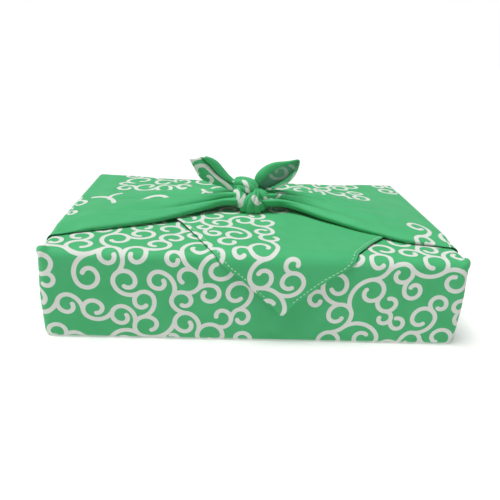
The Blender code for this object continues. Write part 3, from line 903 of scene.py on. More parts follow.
    def lay_under(self, quilt: Quilt, grid: np.ndarray, border_plan: np.ndarray, sign: float,
                  flip: bool) -> None:
        """Lay a folded border, with its plan carried on past the border.

        Args:
            quilt: collects the patches.
            grid: points, the border last in each row.
            border_plan: plan of the border.
            sign: direction of the plan past the border.
            flip: turn the faces over.
        """
        past = travelled(grid[:, ::-1])[:, ::-1]
        first = np.repeat(border_plan[:, :1], grid.shape[1], 1)
        plan = np.stack([first, border_plan[:, 1:2] + sign * past], -1)
        quilt.add(grid, plan, flip=flip)

    def lay_gusset(self, quilt: Quilt) -> None:
        """Folded corner of the front, tucked in beneath each wing's end wall."""
        s = self.sizes
        deep = np.linspace(0.0, 1.0, 8)
        for side in Side:
            sign = side.value
            rows, plans = [], []
            for out, z, path in self.wall_profile():
                x, y, nx, ny, along = self.front_stations(z)
                start = self.wall_row(x, y, nx, ny, out, z)[0 if side is Side.LEFT else -1]
                far = start[1] + self.gusset_depth * deep
                tucked = start[0] - sign * 0.95 * smooth(deep * 6.0)
                rows.append(np.stack([tucked, far, np.full_like(far, z)], -1))
                begin = s.base_x + s.corner_radius * np.pi / 2 + (start[1] + s.base_y)
                plans.append(np.stack([sign * (begin + self.gusset_depth * deep),
                                       np.full_like(far, -s.base_y - path)], -1))
            quilt.add(rows, plans, flip=side is Side.LEFT)


@dataclass(frozen=True)
class Bead:
    """Place on a strand's middle line, with half its width and half its height."""

    x: float
    y: float
    z: float
    wide: float
    high: float


def through(points: np.ndarray, count: int) -> np.ndarray:
    """Smooth line through points.

    Args:
        points: the points, one a row, of any width.
        count: number of places along the result.

    Returns:
        Evenly spread places on the line.
    """
    at = travelled(points[:, :3])
    tangent = np.gradient(points, at, axis=0)
    places = np.linspace(0.0, at[-1], count)
    index = np.clip(np.searchsorted(at, places) - 1, 0, len(at) - 2)
    run = np.diff(at)[index]
    share = (places - at[index]) / run
    return cubic(share[:, None], run[:, None], index, points, tangent)


def frames_along(line: np.ndarray, facing: Vector) -> list[tuple[Vector, Vector, Vector]]:
    """Directions along, across and out of a line, with the last near a given direction."""
    found = []
    for index in range(len(line)):
        before = Vector(line[max(index - 1, 0), :3])
        after = Vector(line[min(index + 1, len(line) - 1), :3])
        along = (after - before).normalized()
        across = along.cross(facing).normalized()
        found.append((along, across, across.cross(along).normalized()))
    return found


@dataclass
class KnotStrand:
    """One turn of gathered cloth in the knot."""

    name: str
    beads: tuple[Bead, ...]
    facing: tuple[float, float, float]
    creases: int
    depth: float
    plan: tuple[float, float]
    drift: float = 0.8
    phase: float = 0.0
    count: int = 44
    around: int = 56

    def build(self, quilt: Quilt) -> None:
        """Lay the strand into the quilt.

        Args:
            quilt: collects the patches.
        """
        table = np.array([astuple(bead) for bead in self.beads])
        line = through(table, self.count)
        length = travelled(line[:, :3])
        theta = np.linspace(0.0, 2 * np.pi, self.around + 1)
        rows, plans = [], []
        for index, (along, across, out) in enumerate(frames_along(line, Vector(self.facing))):
            share = index / (self.count - 1)
            wave = theta * self.creases / 2 + self.phase + self.drift * share
            wander = 0.35 * np.sin(theta * 2 + 5.0 * share + self.phase)
            crease = np.abs(np.sin(wave + wander)) ** 0.6
            ease = float(smooth(min(share, 1 - share) * 7.0))
            body = 1.0 - self.depth * (1.0 - crease) * (0.5 + 0.5 * ease)
            body = body * (0.72 + 0.28 * ease)
            wide = line[index, 3] * np.cos(theta) * body
            high = line[index, 4] * np.sin(theta) * body
            points = (line[index, :3] + np.outer(wide, np.array(across))
                      + np.outer(high, np.array(out)))
            rows.append(points)
            plans.append(np.stack([np.full_like(theta, self.plan[0] + length[index]),
                                   self.plan[1] + theta * 0.5 * (line[index, 3]
                                                                 + line[index, 4])], -1))
        rows.append(np.repeat(rows[-1].mean(0)[None, :], len(theta), 0))
        plans.append(plans[-1])
        rows.insert(0, np.repeat(rows[0].mean(0)[None, :], len(theta), 0))
        plans.insert(0, plans[0])
        quilt.add(rows, plans, flip=True)


@dataclass(frozen=True)
class EarRow:
    """Row across an ear: its two borders as X and Z, how far forward, and its fullness."""

    low: tuple[float, float]
    high: tuple[float, float]
    forward: float
    fullness: float


@dataclass
class Ear:
    """Free end of the cloth that stands out of the knot.

    Its section is a line through places across and out, as shares of the row's width.
    """

    name: str
    table: tuple[EarRow, ...]
    section: tuple[tuple[float, float], ...]
    plan: tuple[float, float]
    count: int = 40
    columns: int = 56

    def build(self, quilt: Quilt) -> None:
        """Lay the ear into the quilt.

        Args:
            quilt: collects the patches.
        """
        table = np.array([[(r.low[0] + r.high[0]) / 2, r.forward, (r.low[1] + r.high[1]) / 2,
                           *r.low, *r.high, r.fullness] for r in self.table])
        line = through(table, self.count)
        length = travelled(line[:, :3])
        shape = np.array([[across, 0.0, out] for across, out in self.section])
        shape = through(shape, self.columns)[:, ::2]
        rows, plans = [], []
        for index, row in enumerate(line):
            share = index / (self.count - 1)
            low, high = Vector((row[3], row[1], row[4])), Vector((row[5], row[1], row[6]))
            side = high - low
            width = side.length
            out = Vector((0.0, -1.0, 0.25 * (1.0 - share))).normalized()
            flutter = 0.35 * np.sin(shape[:, 0] * 9.0 + share * 6.0) * smooth(share * 2.0)
            points = (np.array(low) + np.outer(shape[:, 0], np.array(side))
                      + np.outer(shape[:, 1] * width * row[7] + flutter, np.array(out)))
            rows.append(points)
            across = travelled(points)
            plans.append(np.stack([np.full_like(across, self.plan[0] + length[index]),
                                   self.plan[1] + across - across[-1] / 2], -1))
        quilt.add(rows, plans)


@dataclass(frozen=True)
class Arc:
    """Arc of a stroke: its circle, its middle direction and half of its span."""

    x: float
    y: float
    radius: float
    middle: float
    half_span: float
    half_width: float

    def away(self, x: float, y: float) -> float:
        """Distance from a place to the arc's middle line."""
        out = math.hypot(x - self.x, y - self.y)
        turn = math.atan2(y - self.y, x - self.x) - self.middle
        turn = abs((turn + math.pi) % (2 * math.pi) - math.pi)
        if turn <= self.half_span:
            return abs(out - self.radius)
        past = 2 * out * self.radius * math.cos(turn - self.half_span)
        return math.sqrt(max(out * out + self.radius * self.radius - past, 0.0))


@dataclass(frozen=True)
class Stroke:
    """Separate stroke of print, or of painted highlight, through three places of the plan."""

    start: tuple[float, float]
    by: tuple[float, float]
    end: tuple[float, float]
    half_width: float = 1.8

    def arc(self) -> Arc:
        """The stroke as an arc of the circle through its places."""
        a, b, c = (complex(*place) for place in (self.start, self.by, self.end))
        w = (c - a) / (b - a)
        centre = (b - a) * (w - abs(w) ** 2) / (2j * w.imag) + a
        first, last = a - centre, c - centre
        turn = math.atan2((last / first).imag, (last / first).real)
        half_way = ((b - centre) / first)
        if (math.atan2(half_way.imag, half_way.real) > 0.0) != (turn > 0.0) or abs(
                math.atan2(half_way.imag, half_way.real)) > abs(turn):
            turn -= math.copysign(2 * math.pi, turn)
        middle = math.atan2(first.imag, first.real) + turn / 2
        return Arc(centre.real, centre.imag, abs(first), middle, abs(turn) / 2, self.half_width)


# Spans of a curl's turns, in degrees, and how much smaller the next turn is
SPIRAL = ((200.0, 0.62), (130.0, 0.6), (110.0, 1.0))
HOOK = ((240.0, 1.0),)


@dataclass(frozen=True)
class Curl:
    """One curl of the vine: the circle it winds on, where, and which way it winds.

    A wide lead-in may come before the circle, so that the curl reaches out to open ground.
    """

    x: float
    y: float
    radius: float
    start: float
    hand: int
    turn: float
    lead: float = 0.0
    lead_radius: float = 0.0
    half_width: float = 1.75
    smallest_spiral: float = 5.2

    @cached_property
    def arcs(self) -> list[Arc]:
        """Arcs of the curl, each smaller than the last and smoothly joined to it."""
        found = []
        if self.lead > 0.0:
            back = self.radius - self.lead_radius
            middle = self.start - self.hand * self.lead / 2
            found.append(Arc(self.x + back * math.cos(self.start),
                             self.y + back * math.sin(self.start), self.lead_radius, middle,
                             self.lead / 2, self.half_width))
        x, y, radius, angle, left = self.x, self.y, self.radius, self.start, self.turn
        for span, shrink in SPIRAL if radius > self.smallest_spiral else HOOK:
            drawn = min(span, left)
            half = math.radians(drawn) / 2
            found.append(Arc(x, y, radius, angle + self.hand * half, half, self.half_width))
            angle += self.hand * 2 * half
            left -= drawn
            if left <= 5.0:
                break
            smaller = radius * shrink
            x += (radius - smaller) * math.cos(angle)
            y += (radius - smaller) * math.sin(angle)
            radius = smaller
        return found


class Arabesque:
    """Vine of curls that fills the printed parts of the cloth's plan."""

    seed = 11
    radii = (9.8, 9.0, 8.2, 7.4, 6.8, 6.2, 5.4, 4.8)
    spacing = 5.9
    cell = 32.0
    reach = 440.0
    scattered = 1200
    leads = (0.0, 0.6, 1.0, 1.4, 1.8)
    lead_width = (1.4, 2.1)
    least_turn = 255.0
    turn_per_radius = 9.0
    turn_wobble = 15.0
    first_curls = (
        Curl(-283.0, 62.0, 11.0, -1.2, 1, 350.0),
        Curl(-311.0, 56.0, 10.0, 2.9, -1, 340.0),
        Curl(340.0, 40.0, 10.5, 2.0, 1, 350.0),
        Curl(313.0, 36.0, 9.5, 0.4, -1, 340.0),
    )

    def __init__(self) -> None:
        self.random = random.Random(self.seed)
        self.curls: list[Curl] = []
        self.arcs: list[Arc] = []
        self.near: dict[tuple[int, int], list[Arc]] = {}

    def printed(self, x: float, y: float) -> bool:
        """Whether the plan carries print at a place.

        Args:
            x: place in the plan's first direction.
            y: place in its second direction.

        Returns:
            True where vines may grow.
        """
        if abs(x) + abs(y) > 515.0:
            return False
        if y < -97.0 and abs(x) < 230.0:
            return not -3.0 < x < 40.0
        if y > 285.0:
            edge = 16.0 + 20.0 * float(smooth((y - 335.0) / 70.0))
            return x < edge or x > 100.0
        if x < -232.0:
            return self.left_wing_printed(x + SIZES.wing_plan, y)
        if x > 232.0:
            return self.right_wing_printed(SIZES.wing_plan - x, y)
        return not (96.0 < abs(x - 30.0) < 126.0 and abs(y) < 97.0)

    def left_wing_printed(self, reach: float, y: float) -> bool:
        """Printed parts of the left wing, by the distance out from the middle."""
        if reach > 149.0:
            return -50.0 < y < 10.0
        if y > 14.0:
            return 60.0 < reach < 131.0
        return y < -84.0

    def right_wing_printed(self, reach: float, y: float) -> bool:
        """Printed parts of the right wing, by the distance out from the middle."""
        if y > 15.0:
            return 28.0 < reach < 116.0 or (reach > 134.0 and y > 60.0)
        return y < -78.0 or (reach > 128.0 and y < -36.0)

    def inside(self, x: float, y: float, radius: float) -> bool:
        """Whether a circle lies in the printed parts."""
        ways = ((0.0, 0.0), (radius, 0.0), (-radius, 0.0), (0.0, radius), (0.0, -radius))
        return all(self.printed(x + across, y + along) for across, along in ways)

    def free(self, x: float, y: float, radius: float, beside: Arc | None) -> bool:
        """Whether a circle keeps its distance from every arc but one."""
        clear = radius + self.spacing
        near = self.near.get((int(x // self.cell), int(y // self.cell)), [])
        return all(arc is beside or arc.away(x, y) > clear for arc in near)

    def keep(self, curl: Curl) -> None:
        """Add a curl and note the cells that its arcs may reach."""
        self.curls.append(curl)
        widest = self.radii[0] + self.spacing
        for arc in curl.arcs:
            self.arcs.append(arc)
            first = [int((at - arc.radius - widest) // self.cell) for at in (arc.x, arc.y)]
            last = [int((at + arc.radius + widest) // self.cell) for at in (arc.x, arc.y)]
            for column in range(first[0], last[0] + 1):
                for row in range(first[1], last[1] + 1):
                    self.near.setdefault((column, row), []).append(arc)

    def branch(self, parent: Curl, radius: float, lead: float = 0.0) -> Curl | None:
        """Curl that springs from another's outer turns, or None where there is no room.

        Args:
            parent: curl to spring from.
            radius: radius of the new curl.
            lead: span of the new curl's lead-in, in radians.

        Returns:
            The new curl, or None.
        """
        arc = parent.arcs[self.random.randrange(2 if parent.lead else 1)]
        angle = arc.middle + self.random.uniform(-0.95, 0.95) * arc.half_span
        wide = radius * self.random.uniform(*self.lead_width) if lead else radius
        x = arc.x + (arc.radius + wide) * math.cos(angle)
        y = arc.y + (arc.radius + wide) * math.sin(angle)
        hand = -parent.hand
        start = angle + math.pi + hand * lead
        x += (wide - radius) * math.cos(start)
        y += (wide - radius) * math.sin(start)
        if not self.inside(x, y, radius) or not self.free(x, y, radius, arc):
            return None
        wobble = self.random.uniform(-self.turn_wobble, self.turn_wobble)
        turn = wobble + self.least_turn + self.turn_per_radius * radius
        curl = Curl(x, y, radius, start, hand, turn, lead, wide)
        way = curl.arcs[0]
        for share in (-0.4, 0.2, 0.8) if lead else ():
            turned = way.middle + hand * share * way.half_span
            at_x, at_y = way.x + wide * math.cos(turned), way.y + wide * math.sin(turned)
            if not self.printed(at_x, at_y) or not self.free(at_x, at_y, 0.0, arc):
                return None
        return curl

    def spread(self, parent: Curl, attempts: int, radii: tuple[float, ...]) -> list[Curl]:
        """Grow what finds room on a curl.

        Args:
            parent: curl to spring from.
            attempts: number of tries.
            radii: radii to choose from.

        Returns:
            The new curls.
        """
        found = []
        for _ in range(attempts):
            lead = self.random.choice(self.leads)
            curl = self.branch(parent, self.random.choice(radii), lead)
            if curl:
                self.keep(curl)
                found.append(curl)
        return found

    def grow(self) -> None:
        """Grow the vines from scattered seeds, then fill what room is left."""
        for curl in self.first_curls:
            self.keep(curl)
        fresh = list(self.curls)
        for _ in range(self.scattered):
            while fresh:
                parent = fresh.pop(self.random.randrange(len(fresh)))
                for first in range(4):
                    fresh += self.spread(parent, 14, self.radii[first:first + 4])
            x, y = (self.random.uniform(-self.reach, self.reach) for _ in range(2))
            radius = self.random.choice(self.radii[3:])
            if self.inside(x, y, radius) and self.free(x, y, radius, None):
                hand = self.random.choice((-1, 1))
                self.keep(Curl(x, y, radius, self.random.uniform(0, 2 * math.pi), hand, 330.0))
                fresh = [self.curls[-1]]
        for radius in self.radii[3:]:
            for parent in list(self.curls):
                self.spread(parent, 16, (radius,))

    def paint(self, mesh: bpy.types.Mesh) -> None:
        """Store the nearest arcs with every face of a mesh.

        Args:
            mesh: mesh whose UV map is the cloth's plan, in metres.
        """
        layer = mesh.uv_layers[PLAN_MAP]
        loops = np.empty(len(mesh.loops) * 2)
        layer.data.foreach_get("uv", loops)
        loops = loops.reshape(-1, 2) / MM
        total = np.empty(len(mesh.polygons), int)
        mesh.polygons.foreach_get("loop_total", total)
        start = np.empty(len(mesh.polygons), int)
        mesh.polygons.foreach_get("loop_start", start)
        centre = np.add.reduceat(loops, start, axis=0) / total[:, None]
        spread = np.zeros(len(centre))
        owner = np.repeat(np.arange(len(centre)), total)
        np.maximum.at(spread, owner, np.linalg.norm(loops - centre[owner], axis=1))
        circle = np.array([[a.x, a.y, a.radius] for a in self.arcs])
        sweep = np.array([[a.middle, a.half_span, a.half_width] for a in self.arcs])
        end = circle[:, 2, None] * np.stack([np.cos(sweep[:, 1]), np.sin(sweep[:, 1])], -1)
        blank = np.array([9.0e3, 9.0e3, 1.0])
        first = np.tile(blank, (PRINTED_STROKES, len(centre), 1))
        second = np.tile(np.array([0.0, 0.1, 0.5]), (PRINTED_STROKES, len(centre), 1))
        cos, sin = np.cos(-sweep[:, 0]), np.sin(-sweep[:, 0])
        for chunk in np.array_split(np.arange(len(centre)), max(1, len(centre) // 1500)):
            gap = centre[chunk, None, :] - circle[None, :, :2]
            turned_x = gap[..., 0] * cos - gap[..., 1] * sin
            turned_y = np.abs(gap[..., 0] * sin + gap[..., 1] * cos)
            inside = np.arctan2(turned_y, turned_x) < sweep[None, :, 1]
            ring = np.abs(np.hypot(turned_x, turned_y) - circle[None, :, 2])
            tip = np.hypot(turned_x - end[None, :, 0], turned_y - end[None, :, 1])
            away = np.where(inside, ring, tip) - sweep[None, :, 2]
            order = np.argpartition(away, PRINTED_STROKES, axis=1)[:, :PRINTED_STROKES]
            for rank in range(PRINTED_STROKES):
                chosen = order[:, rank]
                near = away[np.arange(len(chunk)), chosen] < spread[chunk] + 0.8
                rows = chunk[near]
                first[rank, rows] = circle[chosen[near]]
                second[rank, rows] = sweep[chosen[near]]
        for rank in range(PRINTED_STROKES):
            for name, values in (("circle", first[rank]), ("sweep", second[rank])):
                layer = mesh.attributes.new(f"stroke {rank} {name}", "FLOAT_VECTOR", "FACE")
                layer.data.foreach_set("vector", values.ravel())


def colour(code: str) -> tuple[float, float, float, float]:
    """Scene-linear colour of an sRGB hex code."""
    found = []
    for place in (1, 3, 5):
        value = int(code[place:place + 2], 16) / 255.0
        found.append(value / 12.92 if value <= 0.04045 else ((value + 0.055) / 1.055) ** 2.4)
    return found[0], found[1], found[2], 1.0


def add_node(tree: bpy.types.NodeTree, kind: str, inputs: dict[int | str, object] | None = None,
             **settings: object) -> bpy.types.Node:
    """Add a node, set it up and fill or link its inputs.

    Args:
        tree: node tree to add to.
        kind: the node's type name.
        inputs: sockets to link from, or values, by input name or index.
        settings: attributes of the node.

    Returns:
        The new node.
    """
    node = tree.nodes.new(kind)
    for name, value in settings.items():
        setattr(node, name, value)
    for key, value in (inputs or {}).items():
        if isinstance(value, bpy.types.NodeSocket):
            tree.links.new(value, node.inputs[key])
        else:
            node.inputs[key].default_value = value
    return node


def maths(tree: bpy.types.NodeTree, operation: str, *values: object,
          clamp: bool = False) -> bpy.types.NodeSocket:
    """Result of a math node."""
    node = add_node(tree, "ShaderNodeMath", dict(enumerate(values)), operation=operation)
    node.use_clamp = clamp
    return node.outputs[0]


def stroke_group() -> bpy.types.NodeTree:
    """Node group: distance in millimetres from a place to the rim of one arc stroke."""
    tree = bpy.data.node_groups.new("arc stroke", "ShaderNodeTree")
    for name in ("Place", "Circle", "Sweep"):
        tree.interface.new_socket(name, in_out="INPUT", socket_type="NodeSocketVector")
    tree.interface.new_socket("Distance", in_out="OUTPUT", socket_type="NodeSocketFloat")
    given = add_node(tree, "NodeGroupInput").outputs
    circle = add_node(tree, "ShaderNodeSeparateXYZ", {0: given["Circle"]}).outputs
    sweep = add_node(tree, "ShaderNodeSeparateXYZ", {0: given["Sweep"]}).outputs
    centre = add_node(tree, "ShaderNodeCombineXYZ", {0: circle[0], 1: circle[1]}).outputs[0]
    gap = add_node(tree, "ShaderNodeVectorMath", {0: given["Place"], 1: centre},
                   operation="SUBTRACT").outputs[0]
    back = maths(tree, "MULTIPLY", sweep[0], -1.0)
    turned = add_node(tree, "ShaderNodeVectorRotate", {"Vector": gap, "Angle": back},
                      rotation_type="Z_AXIS").outputs[0]
    part = add_node(tree, "ShaderNodeSeparateXYZ", {0: turned}).outputs
    height = maths(tree, "ABSOLUTE", part[1])
    inside = maths(tree, "LESS_THAN", maths(tree, "ARCTAN2", height, part[0]), sweep[1])
    length = add_node(tree, "ShaderNodeVectorMath", {0: gap}, operation="LENGTH").outputs["Value"]
    ring = maths(tree, "ABSOLUTE", maths(tree, "SUBTRACT", length, circle[2]))
    end_x = maths(tree, "MULTIPLY", circle[2], maths(tree, "COSINE", sweep[1]))
    end_y = maths(tree, "MULTIPLY", circle[2], maths(tree, "SINE", sweep[1]))
    away_x = maths(tree, "SUBTRACT", part[0], end_x)
    away_y = maths(tree, "SUBTRACT", height, end_y)
    squares = maths(tree, "ADD", maths(tree, "MULTIPLY", away_x, away_x),
                    maths(tree, "MULTIPLY", away_y, away_y))
    tip = maths(tree, "SQRT", squares)
    chosen = add_node(tree, "ShaderNodeMix", {0: inside, 2: tip, 3: ring}).outputs[0]
    rim = maths(tree, "SUBTRACT", chosen, sweep[2])
    add_node(tree, "NodeGroupOutput", {0: rim})
    return tree


@dataclass(frozen=True)
class PrintedCotton:
    """Thin plain-woven cotton with a pigment print.

    It gives the eye a soft satin green with paler strokes and a faint grain of threads.
    """

    name: str
    ground: str
    shade: str
    stroke: str
    coverage: float = 0.96
    roughness: float = 0.66
    sheen: float = 0.12
    thread: float = 0.42
    relief: float = 0.05
    bleed: float = 0.12
    soft_edge: float = 0.14

    def make(self, strokes: bpy.types.NodeTree) -> bpy.types.Material:
        """Build the material.

        Args:
            strokes: node group of one arc stroke.

        Returns:
            The material.
        """
        material = bpy.data.materials.new(self.name)
        material.use_nodes = True
        tree = material.node_tree
        tree.nodes.clear()
        plan = add_node(tree, "ShaderNodeUVMap", uv_map=PLAN_MAP).outputs[0]
        place = add_node(tree, "ShaderNodeVectorMath", {0: plan, "Scale": 1.0 / MM},
                         operation="SCALE").outputs[0]
        rim: bpy.types.NodeSocket | float = 9.0
        for rank in range(PRINTED_STROKES):
            circle = add_node(tree, "ShaderNodeAttribute",
                              attribute_name=f"stroke {rank} circle").outputs["Vector"]
            sweep = add_node(tree, "ShaderNodeAttribute",
                             attribute_name=f"stroke {rank} sweep").outputs["Vector"]
            one = add_node(tree, "ShaderNodeGroup", node_tree=strokes)
            for key, value in (("Place", place), ("Circle", circle), ("Sweep", sweep)):
                tree.links.new(value, one.inputs[key])
            rim = maths(tree, "MINIMUM", rim, one.outputs[0])
        bleed = add_node(tree, "ShaderNodeTexNoise", {"Vector": place, "Scale": 0.9, "Detail": 2.0})
        ragged = maths(tree, "MULTIPLY_ADD", bleed.outputs[0], 2 * self.bleed, -self.bleed)
        edge = add_node(tree, "ShaderNodeMapRange",
                        {0: maths(tree, "ADD", rim, ragged), 1: -self.soft_edge,
                         2: self.soft_edge, 3: self.coverage, 4: 0.0},
                        interpolation_type="SMOOTHSTEP")
        ink = edge.outputs[0]
        parts = add_node(tree, "ShaderNodeSeparateXYZ", {0: place}).outputs
        beat = 2 * math.pi / self.thread
        warp = maths(tree, "SINE", maths(tree, "MULTIPLY", parts[0], beat))
        weft = maths(tree, "SINE", maths(tree, "MULTIPLY", parts[1], beat))
        weave = maths(tree, "MULTIPLY", maths(tree, "MULTIPLY", warp, weft), 0.5)
        slub = add_node(tree, "ShaderNodeTexNoise", {"Vector": place, "Scale": 0.05,
                                                     "Detail": 3.0}).outputs[0]
        tone = maths(tree, "ADD", maths(tree, "MULTIPLY_ADD", slub, 1.1, -0.05),
                     maths(tree, "MULTIPLY", weave, 0.12), clamp=True)
        ground = add_node(tree, "ShaderNodeMix", {0: tone, 6: colour(self.shade),
                                                  7: colour(self.ground)}, data_type="RGBA")
        mixed = add_node(tree, "ShaderNodeMix", {0: ink, 6: ground.outputs[2],
                                                 7: colour(self.stroke)}, data_type="RGBA")
        relief = maths(tree, "MULTIPLY", weave, 0.5)
        bump = add_node(tree, "ShaderNodeBump", {"Strength": 0.35, "Distance": self.relief * MM,
                                                 "Height": relief})
        surface = add_node(tree, "ShaderNodeBsdfPrincipled", {
            "Base Color": mixed.outputs[2], "Roughness": self.roughness,
            "Normal": bump.outputs[0], "Sheen Weight": self.sheen, "Sheen Roughness": 0.45,
            "Specular IOR Level": 0.22})
        add_node(tree, "ShaderNodeOutputMaterial", {0: surface.outputs[0]})
        return material


# Strokes that show on the ears, on the knot and, cut off by the folds, on the wings; the thin one
# on the left wing is a painted highlight along the crest of a crease, not print
LEFT_EAR_STROKES = (
    Stroke((-407.0, -53.5), (-401.5, -48.5), (-404.5, -42.8)),
    Stroke((-404.5, -42.8), (-420.0, -42.2), (-438.0, -47.0)),
    Stroke((-414.0, -47.0), (-419.5, -48.0), (-421.5, -52.0), 1.6),
    Stroke((-396.5, -50.0), (-395.0, -44.5), (-396.0, -40.0), 1.5),
    Stroke((-431.0, -34.0), (-440.0, -36.0), (-448.0, -42.0), 1.4),
)
RIGHT_EAR_STROKES = (
    Stroke((462.5, -39.5), (465.0, -48.5), (474.0, -45.0), 1.5),
    Stroke((474.0, -45.0), (472.5, -38.5), (468.0, -40.5), 1.4),
    Stroke((481.0, -41.0), (479.0, -52.0), (467.0, -58.0), 1.3),
    Stroke((467.0, -58.0), (461.0, -59.0), (455.0, -56.0), 1.3),
    Stroke((449.0, -46.0), (452.0, -52.0), (450.0, -57.0), 1.2),
)
KNOT_STROKES = (
    Stroke((-458.5, 170.0), (-455.0, 166.5), (-452.5, 161.5), 1.6),
    Stroke((-452.5, 161.5), (-450.0, 160.5), (-448.0, 161.5), 1.4),
    Stroke((-449.5, 64.5), (-447.0, 70.5), (-443.5, 66.0), 1.5),
    Stroke((-439.0, 66.0), (-442.5, 73.5), (-448.5, 81.5), 2.0),
    Stroke((-459.5, 118.0), (-457.0, 122.0), (-455.5, 127.0), 1.6),
    Stroke((-461.5, 127.0), (-459.0, 130.0), (-457.5, 132.0), 1.2),
    Stroke((-461.0, 218.0), (-457.0, 220.5), (-456.0, 225.0), 1.5),
)
WING_PRINT_AND_HIGHLIGHT_STROKES = (
    Stroke((-273.0, -20.0), (-262.0, 0.0), (-250.5, 6.0), 2.1),
    Stroke((-267.5, -8.0), (-269.0, 6.0), (-274.0, 10.0), 1.8),
    Stroke((-297.0, -12.0), (-308.0, -3.0), (-319.0, -8.0), 1.7),
    # painted highlight: thin pale line along the crest of the left wing's upper roll, in the
    # print's colour
    Stroke((-329.0, -7.0), (-345.0, -5.2), (-362.0, -6.5), 0.7),
    Stroke((-349.0, 6.0), (-352.0, 1.0), (-358.0, -1.0), 1.4),
    Stroke((-352.5, 1.0), (-350.0, -3.0), (-351.0, -7.0), 1.3),
    Stroke((372.0, -9.0), (376.0, -13.0), (381.0, -17.0), 1.2),
    Stroke((366.0, -4.0), (372.0, -2.5), (378.0, -5.0), 1.2),
)

FACE_SIDE = PrintedCotton("printed cotton, face", "#4DB578", "#3EA768", "#DADBD6")
REVERSE_SIDE = PrintedCotton("printed cotton, reverse", "#68B28C", "#5CA67E", "#C2CFC6",
                             coverage=0.7, sheen=0.2)


